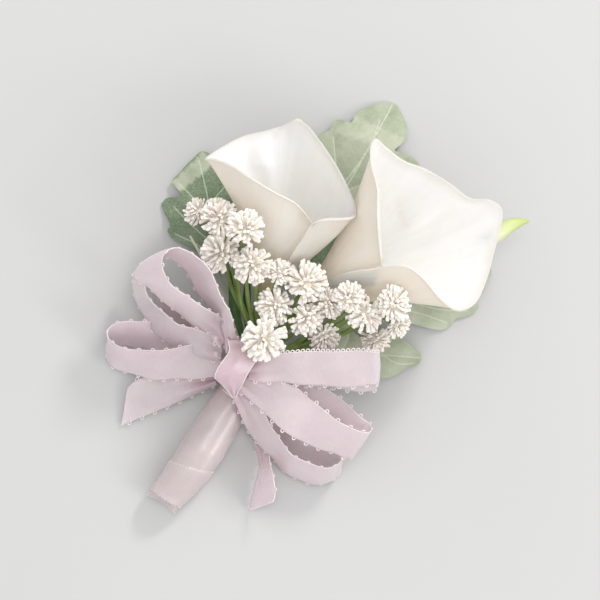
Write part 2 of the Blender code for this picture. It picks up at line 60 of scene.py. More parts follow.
def node(tree, kind, inputs=None, **settings):
    """One node of a material, its sockets set to values or linked to other nodes' outputs."""
    made = tree.nodes.new(kind)
    for key, value in settings.items():
        setattr(made, key, value)
    for socket, value in (inputs or {}).items():
        if isinstance(value, bpy.types.NodeSocket):
            tree.links.new(value, made.inputs[socket])
        else:
            made.inputs[socket].default_value = value
    return made


def coordinates(tree, kind="Object"):
    """Where each point of a piece lies, for a pattern to follow."""
    return node(tree, "ShaderNodeTexCoord").outputs[kind]


def ramp(tree, factor, stops):
    """Colours along a factor, from (place, colour) stops."""
    made = node(tree, "ShaderNodeValToRGB", {"Fac": factor})
    elements = made.color_ramp.elements
    while len(elements) < len(stops):
        elements.new(0.5)
    for element, (place, colour) in zip(elements, stops):
        element.position = place
        element.color = (*colour, 1)
    return made.outputs["Color"]


def mixed(tree, factor, a, b, blend="MIX"):
    """Two colours mixed by a factor."""
    made = node(tree, "ShaderNodeMix", data_type="RGBA", blend_type=blend)
    for index, value in ((0, factor), (6, a), (7, b)):
        if isinstance(value, bpy.types.NodeSocket):
            tree.links.new(value, made.inputs[index])
        elif index == 0:
            made.inputs[0].default_value = value
        else:
            made.inputs[index].default_value = (*value, 1)
    return made.outputs[2]


def new_look(name, **sockets):
    """A fresh Principled material, and its tree and shader."""
    look = bpy.data.materials.new(name)
    look.use_nodes = True
    shader = look.node_tree.nodes["Principled BSDF"]
    for socket, value in sockets.items():
        shader.inputs[socket.replace("_", " ")].default_value = value
    return look, look.node_tree, shader


def painted(tree, shader, colour):
    """Gives a shader its colour."""
    tree.links.new(colour, shader.inputs["Base Color"])


def noise(tree, vector, scale, detail, rough=0.55, spread=None):
    """A noise pattern, its coordinates stretched by spread."""
    if spread:
        vector = node(tree, "ShaderNodeMapping", {"Vector": vector, "Scale": spread}).outputs["Vector"]
    made = node(tree, "ShaderNodeTexNoise", {"Vector": vector, "Scale": scale, "Detail": detail,
                                             "Roughness": rough})
    return made.outputs["Fac"]


def bumped(tree, shader, heights):
    """Bumps on a shader, from (height, strength, distance in mm) layers."""
    normal = None
    for height, strength, distance in heights:
        inputs = {"Height": height, "Strength": strength, "Distance": distance * MM}
        if normal:
            inputs["Normal"] = normal
        normal = node(tree, "ShaderNodeBump", inputs).outputs["Normal"]
    tree.links.new(normal, shader.inputs["Normal"])


floor_look, floor_tree, floor_shader = new_look("pale_surface", Roughness=0.85)
floor_grain = noise(floor_tree, coordinates(floor_tree), 3.0, 4)
floor_colour = ramp(floor_tree, floor_grain, [(0.3, (0.535, 0.537, 0.535)), (0.7, (0.565, 0.567, 0.565))])
painted(floor_tree, floor_shader, floor_colour)
bpy.ops.object.select_all(action="DESELECT")
bpy.ops.mesh.primitive_plane_add(size=8, location=(0, 0, -0.0002))
floor = bpy.context.object
floor.name = "floor"
floor.data.materials.append(floor_look)

sky = bpy.data.worlds.new("soft_room")
sky.use_nodes = True
sky.node_tree.nodes["Background"].inputs["Color"].default_value = (1.0, 1.0, 1.0, 1)
sky.node_tree.nodes["Background"].inputs["Strength"].default_value = 0.87
bpy.context.scene.world = sky
bpy.context.scene.view_settings.view_transform = "Standard"

target = drawn(VIEW_MIDDLE)


def lamp(name, bearing, climb, away, size, watts, tint=(1, 1, 1)):
    """A square soft lamp aimed at the corsage; the bearing is counted from the view's right."""
    turn, lift = math.radians(bearing) + STEM_TURN, math.radians(climb)
    way = Vector((math.cos(turn) * math.cos(lift), math.sin(turn) * math.cos(lift), math.sin(lift)))
    bpy.ops.object.light_add(type="AREA", location=target + way * away)
    light = bpy.context.object
    light.name = name
    light.rotation_euler = way.to_track_quat("Z", "Y").to_euler()
    light.data.size = size
    light.data.energy = watts
    light.data.color = tint


lamp("key_light", 54, 35, 1.1, 0.16, 4.7, (1.0, 0.98, 0.965))
lamp("top_light", 80, 82, 1.2, 0.4, 2.6)
lamp("side_light", -28, 32, 1.1, 0.4, 2.9, (1.0, 0.99, 0.98))

bpy.ops.object.camera_add(location=target + Vector((0, 0, VIEW_DISTANCE)), rotation=(0, 0, STEM_TURN))
camera = bpy.context.object
camera.data.lens = 150
camera.data.sensor_width = 36
bpy.context.scene.camera = camera


# ---- The lily stems ----------------------------------------------------------------------------
# Each lily stands on a soft green plastic stem with a wire core. The stems run side by side up the
# handle, inside the ribbon, and each ends in the foot of its bloom.
LILY_STEM_RADIUS = 1.7
STEM_START = -38.0
STEM_ROWS = 40
# Under its bloom each stem widens by so much, from this row on
STEM_FLARE, FLARE_START = 0.5, 33
LILY_STEM_SLOTS = {"left": (-2.0, 5.2), "right": (2.0, 5.2)}
# Throat rings from the stem outwards: centre x, y, z, radius, heading in the view and climb in degrees
THROATS = {
    "left": [((7.2, 23.5, 12.5), 2.6, 80, 18), ((10.6, 32.6, 17.0), 6.2, 78, 26),
             ((15.0, 40.8, 21.5), 11.6, 70, 30)],
    "right": [((20.5, 19.2, 12.0), 2.6, 42, 18), ((28.8, 27.2, 16.6), 6.6, 38, 26),
              ((41.0, 33.8, 22.0), 12.2, 30, 30)],
}


def across(offset, along, height):
    """A drawn point that lies so far across and along the handle from the tie."""
    c, s = math.cos(STEM_TURN), math.sin(STEM_TURN)
    return Vector((TIE[0] + offset * c + along * s, TIE[1] + along * c - offset * s, height))


def down_handle(offset, height, reach=(-24, -10, 0, 5.5)):
    """A stem's places inside the handle, from its cut end up."""
    return [across(offset, along, height) for along in (STEM_START, *reach)]


def smooth_points(points, count):
    """Places spread evenly along a smooth curve through the given ones; values after x, y, z follow."""
    knots = np.array([tuple(p) for p in points], float)
    lengths = np.linalg.norm(np.diff(knots[:, :3], axis=0), axis=1)
    reached = np.concatenate([[0], np.cumsum(lengths)])
    slopes = np.gradient(knots, reached, axis=0)
    out = []
    for s in np.linspace(0, reached[-1], count):
        k = min(int(np.searchsorted(reached, s, side="right")) - 1, len(knots) - 2)
        t = (s - reached[k]) / lengths[k]
        out.append(knots[k] * (1 - 3 * t ** 2 + 2 * t ** 3) + knots[k + 1] * (3 * t ** 2 - 2 * t ** 3)
                   + lengths[k] * (slopes[k] * (t - 2 * t ** 2 + t ** 3) + slopes[k + 1] * (t ** 3 - t ** 2)))
    return [Vector(p) for p in out]


def eased(x):
    """A smooth step, from 0 at 0 to 1 at 1."""
    x = min(max(x, 0.0), 1.0)
    return x * x * (3 - 2 * x)


def only(piece):
    """Deselects everything, then picks one piece."""
    bpy.ops.object.select_all(action="DESELECT")
    piece.select_set(True)
    bpy.context.view_layer.objects.active = piece


def tube(name, centres, radii, roundness=3):
    """A round stem: a path through its centres, with a round section, made a closed mesh."""
    bpy.ops.object.select_all(action="DESELECT")
    bpy.ops.curve.primitive_nurbs_path_add()
    path = bpy.context.object
    path.data.splines.clear()
    line = path.data.splines.new("POLY")
    line.points.add(len(centres) - 1)
    for point, centre, radius in zip(line.points, centres, radii):
        point.co = (*drawn(centre), 1)
        point.radius = radius
    path.data.dimensions = "3D"
    path.data.bevel_depth = MM
    path.data.bevel_resolution = roundness
    path.data.use_fill_caps = True
    bpy.ops.object.convert(target="MESH")
    path.name = path.data.name = name
    path.data.transform(path.matrix_world)
    path.matrix_world = Matrix.Identity(4)
    bpy.ops.object.mode_set(mode="EDIT")
    bpy.ops.mesh.select_all(action="SELECT")
    bpy.ops.mesh.remove_doubles(threshold=0.00001)
    bpy.ops.mesh.normals_make_consistent(inside=False)
    bpy.ops.object.mode_set(mode="OBJECT")
    return path


def joined(name, pieces):
    """Several pieces as one."""
    only(pieces[0])
    for piece in pieces[1:]:
        piece.select_set(True)
    if len(pieces) > 1:
        bpy.ops.object.join()
    pieces[0].name = pieces[0].data.name = name
    return pieces[0]


def fitted(piece, look, slot, *nodes, smooth=42):
    """The last steps for a piece: its finish, its smooth shading, and the solids that it stands for."""
    piece.data.materials.clear()
    piece.data.materials.append(look)
    only(piece)
    bpy.ops.object.shade_smooth_by_angle(angle=math.radians(smooth))
    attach(piece, "root")
    if nodes:
        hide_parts(*nodes)


def tinted(tree, factor, colour, tint):
    """A colour multiplied by a tint, as far as the factor says."""
    return mixed(tree, factor, colour, tint, "MULTIPLY")


def green_stem(name, light, dark, streak):
    """Moulded plastic stem: streaks along it, paler and darker patches, a soft shine."""
    look, tree, shader = new_look(name, Roughness=0.42, Specular_IOR_Level=0.4)
    spot = coordinates(tree)
    patches = noise(tree, spot, 210, 3)
    streaks = noise(tree, spot, 1.0, 2, spread=(1500, 260, 1500))
    base = ramp(tree, patches, [(0.32, dark), (0.62, light)])
    painted(tree, shader, tinted(tree, streaks, base, streak))
    bumped(tree, shader, [(streaks, 0.35, 0.12)])
    return look


def ring_frame(heading, climb):
    """The right, upper and forward directions of a throat ring."""
    h, c = math.radians(heading), math.radians(climb)
    forward = Vector((math.cos(h) * math.cos(c), math.sin(h) * math.cos(c), math.sin(c)))
    right = Vector((math.sin(h), -math.cos(h), 0))
    return right, right.cross(forward), forward


lily_green = green_stem("lily_stem_green", (0.40, 0.46, 0.20), (0.27, 0.33, 0.13), (0.80, 0.84, 0.70))
for side, throat in THROATS.items():
    forward = ring_frame(throat[0][2], throat[0][3])[2]
    seat = Vector(throat[0][0]) - forward * 0.2
    offset, height = LILY_STEM_SLOTS[side]
    route = smooth_points(down_handle(offset, height) + [seat - forward * 8, seat], STEM_ROWS)
    swell = [LILY_STEM_RADIUS + STEM_FLARE * eased((k - FLARE_START) / 6) + 0.05 * math.sin(k * 1.7)
             for k in range(STEM_ROWS)]
    fitted(tube(f"lily_{side}_stem_green", route, swell), lily_green, "lily_stem_green", f"lily_{side}_stem")


# ---- The lilies --------------------------------------------------------------------------------
# Each bloom is one heart-shaped petal of soft white foam plastic, rolled into a funnel round its
# spike: the left edge tucks under, the right edge laps over it, and the rim turns out all round.
PETAL_THICK = 0.5
PETAL_AROUND, PETAL_ALONG, LIP_ROWS = 132, 54, 6
# Each rim runs from the flap that tucks under, round the back and the point, to the flap on top.
# An entry is the angle round the throat in degrees, then x, y and z.
RIMS = {
    "left": [
        (62, 25.2, 38.6, 29), (78, 23.4, 41.6, 31.8), (92, 21.4, 44.6, 34.4), (106, 17.4, 49.2, 36.6),
        (124, 11.1, 52.5, 37.6), (142, 4.2, 56.7, 37), (160, -2.2, 60.8, 34), (174, -7, 62.6, 30.5),
        (184, -9.4, 62.9, 27.6), (196, -5, 66.2, 25), (212, 2, 69.9, 23), (228, 8.6, 71.4, 21.6), (244, 13.6, 73, 22),
        (256, 17.3, 74.5, 24), (268, 20.6, 72.9, 25.4), (288, 24.8, 67.5, 28), (308, 28.4, 62, 30.6),
        (328, 31.4, 56.5, 33), (346, 34, 50.6, 34.4), (362, 35, 46.8, 33), (376, 33.9, 45.2, 35.2),
        (392, 30, 44.7, 38.4), (412, 25.2, 44.4, 39.6), (436, 22.3, 42.9, 38.8),
    ],
    "right": [
        (62, 40.2, 25.6, 30), (78, 41.6, 28.2, 33), (92, 42.6, 31.6, 35.8), (106, 42.2, 36.9, 38.4),
        (124, 41.6, 45.6, 40.6), (142, 41.4, 53.4, 41.6), (160, 39.9, 60.2, 41.8), (174, 39.6, 65.6, 41.2),
        (184, 40.8, 67.9, 40.4), (194, 43.4, 65.8, 38.4), (210, 49, 61.8, 35.4), (228, 55.6, 59.4, 33),
        (244, 62.6, 55.4, 30.6), (258, 69, 51, 28.6), (270, 74.4, 50.6, 28.8), (282, 78.3, 48, 27.6),
        (298, 77.9, 41.6, 26.4), (314, 76.2, 35.6, 26.2), (332, 74.2, 28.2, 27.2), (350, 70.6, 20.4, 29.4),
        (364, 65.4, 18, 31.6), (380, 60.2, 21.2, 34.2), (398, 54.9, 27.2, 37.6), (414, 49.8, 30.8, 39.4),
        (436, 42.8, 30.8, 38.4),
    ],
}
# How far the lip rolls, in millimetres, at angles round the throat
LIP_ROLLS = {
    "left": [(62, 0.25), (100, 0.35), (184, 0.3), (220, 0.15), (340, 0.15), (380, 0.35), (436, 0.3)],
    "right": [(62, 0.3), (100, 0.6), (142, 1.4), (162, 1.0), (182, 0.25), (258, 0.15), (330, 0.15), (364, 0.3),
              (400, 0.35), (436, 0.3)],
}
# How much further round its tube the flap on top reaches at its foot, in degrees
FLAP_LAPS = {"left": 0, "right": 62}
# At its foot the petal goes round its tube by so many degrees, its outer edge so much wider
TUBE_SPAN, TUBE_SPIRAL = 350, 1.9
# How far over the lip curls, in degrees, and the angles round the throat that a crease keeps to
LIP_TURN = 150
CREASED = (150, 340)
# Creases in each funnel: a drawn line, how far the petal rises on its right side, and over what widths
CREASES = {
    "left": [([(14.6, 74.0), (10.6, 69.4), (10.7, 64.0), (11.6, 61.0), (11.6, 55.0), (12.0, 48.0)],
              4.4, 2.2, 7.0)],
    "right": [([(69.2, 52.4), (62.1, 47.7), (56.7, 43.2), (52.5, 39.9), (46.0, 38.4)], 2.4, 3.6, 11.0)],
}


def rim_point(rim, angle):
    """The rim at an angle, by a smooth curve over the listed points."""
    k = 0
    while k < len(rim) - 2 and rim[k + 1][0] < angle:
        k += 1
    picks = [np.array(rim[min(max(j, 0), len(rim) - 1)], float) for j in (k - 1, k, k + 1, k + 2)]
    (a, b, c, d), t = picks, (angle - rim[k][0]) / (rim[k + 1][0] - rim[k][0])
    slope_b = (c - b) if k == 0 else (c - a) / (c[0] - a[0]) * (c[0] - b[0])
    slope_c = (c - b) if k == len(rim) - 2 else (d - b) / (d[0] - b[0]) * (c[0] - b[0])
    place = (b * (1 - 3 * t ** 2 + 2 * t ** 3) + c * (3 * t ** 2 - 2 * t ** 3)
             + slope_b * (t - 2 * t ** 2 + t ** 3) + slope_c * (t ** 3 - t ** 2))
    return Vector(place[1:])


def beside(point, line):
    """How far a drawn point lies to the right of a line, and how far along that line, from 0 to 1."""
    best = (1e9, 0, 0)
    for k in range(len(line) - 1):
        ax, ay = line[k]
        bx, by = line[k + 1]
        dx, dy = bx - ax, by - ay
        length = math.hypot(dx, dy)
        t = ((point[0] - ax) * dx + (point[1] - ay) * dy) / length ** 2
        t = min(max(t, 0), 1)
        away = math.hypot(point[0] - ax - t * dx, point[1] - ay - t * dy)
        if away < best[0]:
            side_of = (dy * (point[0] - ax) - dx * (point[1] - ay)) / length
            best = (away, side_of, (k + t) / (len(line) - 1))
    return math.copysign(best[0], best[1]), best[2]


def petal_rows(rim, throat, rolls, creases, lap):
    """The rolled petal: rows from the foot to the rim and round its lip, each from flap to flap."""
    first, last = rim[0][0], rim[-1][0]
    middle = (first + last) / 2
    rings = [(Vector(centre), radius, *ring_frame(heading, climb)) for centre, radius, heading, climb in throat]
    rows = []
    for j in range(PETAL_ALONG + 1):
        v = j / PETAL_ALONG
        span = TUBE_SPAN + (last - first - TUBE_SPAN) * eased((v - 0.2) / 0.6)
        spiral = TUBE_SPIRAL * eased(v / 0.3)
        row = []
        for i in range(PETAL_AROUND + 1):
            u = i / PETAL_AROUND
            turn = middle + span * (u - 0.5) + lap * eased((u - 0.7) / 0.3) * (1 - v)
            angle = math.radians(turn)
            controls = [centre + (right * math.cos(angle) + upper * math.sin(angle)) * (radius + spiral * (u - 0.5))
                        for centre, radius, right, upper, _ in rings]
            a, b, c = controls
            d = rim_point(rim, first + (last - first) * u)
            w = 1 - v
            place = a * w ** 3 + b * 3 * w * w * v + c * 3 * w * v * v + d * v ** 3
            for line, rise, near, far in creases:
                if v > 0.25 and CREASED[0] < first + (last - first) * u < CREASED[1]:
                    off, share = beside(place, line)
                    bulge = eased(off / near) if off < near else 1 - eased((off - near) / far)
                    hold = eased((v - 0.3) / 0.3) * eased((1 - share) / 0.5)
                    hold = hold * (0.35 + 0.65 * eased((1.02 - v) / 0.2))
                    place.z += rise * bulge * hold
            row.append(place)
        rows.append(row)
    edge = rows[-1]
    lips = []
    for i in range(PETAL_AROUND + 1):
        ahead = (edge[i] - rows[-4][i]).normalized()
        way = (edge[min(i + 1, PETAL_AROUND)] - edge[max(i - 1, 0)]).normalized()
        outward = ahead.cross(way).normalized()
        angle = first + (last - first) * i / PETAL_AROUND
        roll = float(np.interp(angle, [r[0] for r in rolls], [r[1] for r in rolls]))
        shift = (ahead + outward) * roll
        for j in range(PETAL_ALONG + 1):
            rows[j][i] = rows[j][i] - shift * eased((j / PETAL_ALONG - 0.8) / 0.2)
        foot = edge[i]
        lips.append([foot + ahead * roll * math.sin(t) + outward * roll * (1 - math.cos(t))
                     for t in np.linspace(0, math.radians(LIP_TURN), LIP_ROWS + 1)[1:]])
    rows += [[lip[k] for lip in lips] for k in range(LIP_ROWS)]
    return rows


def laid_grid(name, rows):
    """A grid of faces laid through rows of drawn points, with its own UV map."""
    bpy.ops.object.select_all(action="DESELECT")
    bpy.ops.mesh.primitive_grid_add(x_subdivisions=len(rows[0]) - 1, y_subdivisions=len(rows) - 1, size=2,
                                    calc_uvs=True)
    piece = bpy.context.object
    piece.name = piece.data.name = name
    for vertex in piece.data.vertices:
        i = round((vertex.co.x + 1) / 2 * (len(rows[0]) - 1))
        j = round((vertex.co.y + 1) / 2 * (len(rows) - 1))
        vertex.co = drawn(rows[j][i])
    return piece


def thickened(piece, thick):
    """Gives a sheet its wall, half to each side."""
    only(piece)
    wall = piece.modifiers.new("Wall", "SOLIDIFY")
    wall.thickness = thick * MM
    wall.offset = 0.0
    wall.use_even_offset = False
    bpy.ops.object.modifier_apply(modifier=wall.name)
    return piece


def marked(piece, name, values):
    """Stores a value for each vertex, or one for all, for the piece's finish to follow."""
    if np.isscalar(values):
        values = [values] * len(piece.data.vertices)
    kept = piece.data.attributes.new(name, "FLOAT", "POINT")
    kept.data.foreach_set("value", np.array(values, np.float32))


def stored(tree, name, output="Fac"):
    """What was stored on a piece's vertices under a name."""
    return node(tree, "ShaderNodeAttribute", attribute_name=name).outputs[output]


def faded(tree, factor, low, high, top=1.0):
    """A factor spread from black at low to white, or a grey, at high."""
    return ramp(tree, factor, [(low, (0, 0, 0)), (high, (top, top, top))])


petal_white, tree, shader = new_look("petal_white", Roughness=0.46, Specular_IOR_Level=0.35,
                                     Subsurface_Weight=0.55, Subsurface_Scale=0.004, Sheen_Weight=0.08)
shader.inputs["Subsurface Radius"].default_value = (1.0, 0.75, 0.55)
uv = coordinates(tree, "UV")
along = node(tree, "ShaderNodeSeparateXYZ", {"Vector": uv}).outputs["Y"]
spot = coordinates(tree)
ground = ramp(tree, along, [(0.0, (0.62, 0.66, 0.42)), (0.14, (0.82, 0.80, 0.68)), (0.34, (0.935, 0.905, 0.87)),
                            (0.7, (0.925, 0.895, 0.865)), (1.0, (0.90, 0.865, 0.84))])
veins = noise(tree, uv, 1.0, 4, 0.6, spread=(60, 2.4, 1))
fine_veins = noise(tree, uv, 1.0, 2, 0.5, spread=(310, 3.5, 1))
patches = noise(tree, spot, 90, 2)
toned = tinted(tree, faded(tree, veins, 0.35, 0.7), ground, (0.975, 0.965, 0.95))
toned = tinted(tree, faded(tree, patches, 0.4, 0.8, 0.8), toned, (0.95, 0.94, 0.92))
# Painted shade: the outer face, and the inner face near the lip, are darkened for the sides that face away from the
# light.
painted(tree, shader, tinted(tree, stored(tree, "painted_shade_outer_and_lip"), toned, (0.75, 0.728, 0.69)))
bumped(tree, shader, [(veins, 0.32, 0.45), (fine_veins, 0.3, 0.15), (noise(tree, spot, 2600, 2), 0.06, 0.08)])

for side, throat in THROATS.items():
    rows = petal_rows(RIMS[side], throat, LIP_ROLLS[side], CREASES[side], FLAP_LAPS[side])
    petal = thickened(laid_grid(f"lily_{side}_petal", rows), PETAL_THICK)
    # Painted shade: the inner face darkens towards the lip, and the whole outer face (the second half of the
    # vertices) is darkened.
    lip = [eased((row - PETAL_ALONG + 2) / 3) for row in range(len(rows)) for _ in rows[row]]
    marked(petal, "painted_shade_outer_and_lip", lip + [1.0] * len(lip))
    fitted(petal, petal_white, "lily_white", f"lily_{side}_spathe", smooth=60)


# ---- The lily points ---------------------------------------------------------------------------
# Behind its rim each petal ends in a soft curled point, cream where it leaves the petal and lime
# green at its tip. The left lily's point is turned down behind its rim.
POINTS = {
    "left": [(17.2, 72.2, 21.4, 2.2), (17.8, 73.4, 18.0, 2.2), (17.0, 72.4, 14.0, 1.5), (16.0, 70.4, 11.6, 0.5)],
    "right": [(74.0, 38.6, 22.4, 2.4), (76.4, 40.4, 22.0, 2.7), (79.0, 42.0, 21.6, 2.6), (81.6, 43.4, 21.4, 2.1),
              (84.4, 44.3, 21.0, 1.4), (87.2, 44.6, 20.6, 0.35)],
}
point_green, tree, shader = new_look("point_green", Roughness=0.45, Subsurface_Weight=0.12,
                                     Subsurface_Scale=0.002, Specular_IOR_Level=0.4)
reach = stored(tree, "reach")
spot = coordinates(tree)
streaks = noise(tree, spot, 1.0, 3, spread=(900, 900, 2200))
limed = ramp(tree, reach, [(0.0, (0.82, 0.80, 0.70)), (0.3, (0.72, 0.75, 0.50)), (0.62, (0.60, 0.67, 0.32)),
                           (1.0, (0.47, 0.55, 0.19))])
painted(tree, shader, tinted(tree, streaks, limed, (0.86, 0.88, 0.78)))
bumped(tree, shader, [(streaks, 0.3, 0.2)])

for side, places in POINTS.items():
    route = smooth_points(places, 22)
    horn = tube(f"lily_{side}_point", route, [p[3] for p in route], 4)
    start, end = drawn(route[0]), drawn(route[-1])
    way = (end - start).normalized()
    marked(horn, "reach", [(v.co - start).dot(way) / (end - start).length for v in horn.data.vertices])
    fitted(horn, point_green, "lily_tip_green", f"lily_{side}_tip")


# ---- The lily spikes ---------------------------------------------------------------------------
# Down in each funnel stands the flower's yellow spike, a soft plastic finger covered in fine
# knobs set in spirals.
spike_yellow, tree, shader = new_look("spike_yellow", Roughness=0.6, Specular_IOR_Level=0.3)
spot = coordinates(tree)
pollen = noise(tree, spot, 1700, 3)
painted(tree, shader, ramp(tree, pollen, [(0.3, (0.74, 0.50, 0.08)), (0.6, (0.86, 0.66, 0.17)),
                                          (0.8, (0.94, 0.80, 0.34))]))
bumped(tree, shader, [(pollen, 0.5, 0.25)])
SPIKE_RADII = [1.3, 1.6, 1.8, 1.85, 1.8, 1.7, 1.5, 1.1, 0.35]
SPIKE_ROWS = 60
# How far the knobs stand out in millimetres, and their turns round the spike and along each metre
KNOB_HEIGHT, KNOBS_AROUND, KNOBS_ALONG = 0.22, 5, 2600
for side, throat in THROATS.items():
    foot = Vector(throat[0][0]) + ring_frame(throat[0][2], throat[0][3])[2] * 0.8
    head = Vector(throat[1][0]).lerp(Vector(throat[2][0]), 0.8)
    route = smooth_points([foot, throat[1][0], head], SPIKE_ROWS)
    radii = np.interp(np.linspace(0, 1, SPIKE_ROWS), np.linspace(0, 1, len(SPIKE_RADII)), SPIKE_RADII)
    spike = tube(f"lily_{side}_spike", route, radii, 10)
    start, end = drawn(route[0]), drawn(route[-1])
    way = (end - start).normalized()
    side_way = way.orthogonal().normalized()
    other = way.cross(side_way)
    for vertex in spike.data.vertices:
        off = vertex.co - start
        height = off.dot(way)
        round_it = off - way * height
        turn = math.atan2(round_it.dot(other), round_it.dot(side_way))
        wound, risen = turn * KNOBS_AROUND, height * KNOBS_ALONG
        knob = abs(math.sin(wound + risen)) * abs(math.sin(wound - risen))
        if round_it.length > 1e-6:
            vertex.co += round_it.normalized() * KNOB_HEIGHT * MM * knob
    fitted(spike, spike_yellow, "spadix_yellow", f"lily_{side}_spadix")


# ---- The filler sprays -------------------------------------------------------------------------
# Four sprays of small white blossoms fill the gap below the lilies. Each blossom is a ball of soft
# plastic fingers on a green core, and its thin stalk joins the others in one stem down the handle.
FLORETS = 84
FLORET_SEED = 5
# How far round its ball the fingers reach (2 would close it), and how far each may stray from its place
FLORET_SPREAD = 1.28
TURN_DRIFT, TILT_DRIFT, FLORET_SWAY = 0.22, 0.13, 0.16
# Their lengths against the head's radius, and their widths in a head of the usual radius
FLORET_LENGTHS, FLORET_WIDTHS, USUAL_RADIUS = (0.94, 1.2), (0.9, 1.2), 4.6
TRUNK_ROWS, TRUNK_RADIUS, STALK_ROWS = 16, 0.78, 26
SPRAY_SLOTS = {"left": (-2.9, 7.72), "middle": (-1.0, 8.3), "centre": (1.0, 8.3), "right": (2.85, 7.8)}
# Filler heads: x, y, z, radius, and the way each faces: heading in the view and climb
FILLER_HEADS = {
    "left": [(-11.9, 47.3, 22.0, 3.8, 150, 35), (-5.5, 45.6, 27.0, 5.0, 110, 60),
             (2.4, 42.0, 36.6, 5.0, 80, 60), (-4.9, 35.1, 28.0, 5.3, 160, 60)],
    "middle": [(4.4, 31.5, 30.2, 5.2, 250, 70), (12.4, 29.0, 30.0, 3.7, 70, 60),
               (11.3, 19.4, 27.4, 5.0, 210, 65), (7.8, 9.6, 29.4, 5.9, 270, 75)],
    "centre": [(20.4, 26.2, 29.6, 5.6, 60, 60), (20.4, 15.7, 27.0, 4.7, 300, 65), (27.4, 20.0, 28.0, 4.1, 30, 55)],
    "right": [(33.2, 21.6, 32.4, 4.3, 110, 65), (37.9, 17.0, 30.6, 4.9, 240, 72), (46.0, 19.8, 34.6, 4.7, 20, 55),
              (47.6, 13.6, 25.4, 3.5, 330, 40), (41.2, 9.2, 20.0, 4.0, 290, 45), (25.7, 10.0, 23.4, 4.1, 290, 62)],
}
filler_green = green_stem("filler_green", (0.34, 0.44, 0.17), (0.20, 0.30, 0.08), (0.82, 0.90, 0.68))

blossom_white, tree, shader = new_look("blossom_white", Roughness=0.5, Specular_IOR_Level=0.35,
                                       Subsurface_Weight=0.1, Subsurface_Scale=0.001)
reach = stored(tree, "reach")
tint = stored(tree, "tint")
spot = coordinates(tree)
# Darker and warmer towards their roots: partly the fingers' own tone there, partly painted shade deep in the ball
# between them.
fingers = ramp(tree, reach, [(0.0, (0.86, 0.80, 0.70)), (0.3, (0.92, 0.87, 0.81)), (0.6, (0.96, 0.92, 0.88)),
                             (1.0, (0.97, 0.935, 0.90))])
warm = tinted(tree, tint, fingers, (0.985, 0.95, 0.92))
speckle = noise(tree, spot, 1400, 2)
painted(tree, shader, tinted(tree, speckle, warm, (0.975, 0.97, 0.95)))
bumped(tree, shader, [(speckle, 0.15, 0.12)])

# One finger, a millimetre-wide club with a dimpled end: a six-sided rod drawn out, swelled and closed
bpy.ops.object.select_all(action="DESELECT")
bpy.ops.mesh.primitive_cylinder_add(vertices=6, radius=0.26, depth=0.3, location=(0, 0, 0.15),
                                    end_fill_type="NGON")
finger = bpy.context.object
bpy.ops.object.mode_set(mode="EDIT")
bpy.ops.mesh.select_mode(type="FACE")
bpy.ops.mesh.select_all(action="DESELECT")
finger_mesh = bmesh.from_edit_mesh(finger.data)
for face in finger_mesh.faces:
    face.select = face.normal.z > 0.9
bmesh.update_edit_mesh(finger.data)
for rise, swell in ((0.22, 1.25), (0.22, 1.45), (0.16, 1.25), (0.08, 0.78)):
    bpy.ops.mesh.extrude_region_move(TRANSFORM_OT_translate={"value": (0, 0, rise)})
    bpy.ops.transform.resize(value=(swell, swell, 1), center_override=(0, 0, 0))
bpy.ops.mesh.inset(thickness=0.16)
bpy.ops.transform.translate(value=(0, 0, -0.05))
bpy.ops.object.mode_set(mode="OBJECT")
finger_points = np.array([v.co for v in finger.data.vertices])
finger_faces = [tuple(p.vertices) for p in finger.data.polygons]
finger_points[:, 2] /= finger_points[:, 2].max()
bpy.data.objects.remove(finger, do_unlink=True)


def from_points(name, points, faces):
    """A piece made of placed points and the faces between them."""
    mesh = bpy.data.meshes.new(name)
    mesh.from_pydata(points, [], faces)
    piece = bpy.data.objects.new(name, mesh)
    bpy.context.scene.collection.objects.link(piece)
    return piece


def blossom(name, centre, radius, way, seed):
    """A ball of fingers that open from a core, longest at its skirt."""
    rng = np.random.default_rng(seed)
    core = tube("core", [centre + way * radius * rise for rise in (-0.5, -0.3, 0, 0.3)],
                [radius * share for share in (0.15, 0.44, 0.62, 0.34)], 2)
    core_points = [v.co / MM for v in core.data.vertices]
    core_faces = [tuple(p.vertices) for p in core.data.polygons]
    bpy.data.objects.remove(core, do_unlink=True)
    side_way = way.orthogonal().normalized()
    other = way.cross(side_way)
    frame_of = np.array([side_way, other, way])
    points, faces, reaches, tints = [], [], [], []
    for i in range(FLORETS):
        share = (i + 0.5) / FLORETS
        tilt = math.acos(1 - FLORET_SPREAD * share)
        turn = i * math.pi * (3 - math.sqrt(5)) + rng.uniform(-TURN_DRIFT, TURN_DRIFT)
        tilt += rng.uniform(-TILT_DRIFT, TILT_DRIFT)
        out = np.array([math.cos(turn) * math.sin(tilt), math.sin(turn) * math.sin(tilt), math.cos(tilt)])
        level = np.array([-math.sin(turn), math.cos(turn), 0])
        cross = np.cross(out, level)
        length = radius * rng.uniform(*FLORET_LENGTHS) * (0.88 + 0.12 * share)
        width = rng.uniform(*FLORET_WIDTHS) * radius / USUAL_RADIUS
        sway = (level * rng.uniform(-1, 1) + cross * rng.uniform(-1, 1)) * FLORET_SWAY * length
        z = finger_points[:, 2:3]
        local = (finger_points[:, 0:1] * level * width + finger_points[:, 1:2] * cross * width * 0.62
                 + out * (0.1 * radius + z * length))
        local += (z ** 2) * (sway + np.array([0, 0, 1.0]) * length * 0.22 * (share - 0.3))
        base = len(points)
        points += [centre + Vector(p @ frame_of) for p in local]
        faces += [tuple(k + base for k in f) for f in finger_faces]
        reaches += list(np.clip(z[:, 0], 0, 1))
        tints += [rng.uniform(0, 1)] * len(finger_points)
    base = len(points)
    piece = from_points(name, [drawn(p) for p in points] + [p * MM for p in core_points],
                        faces + [tuple(k + base for k in f) for f in core_faces])
    marked(piece, "reach", reaches + [0.2] * len(core_points))
    marked(piece, "tint", tints + [0.5] * len(core_points))
    return piece


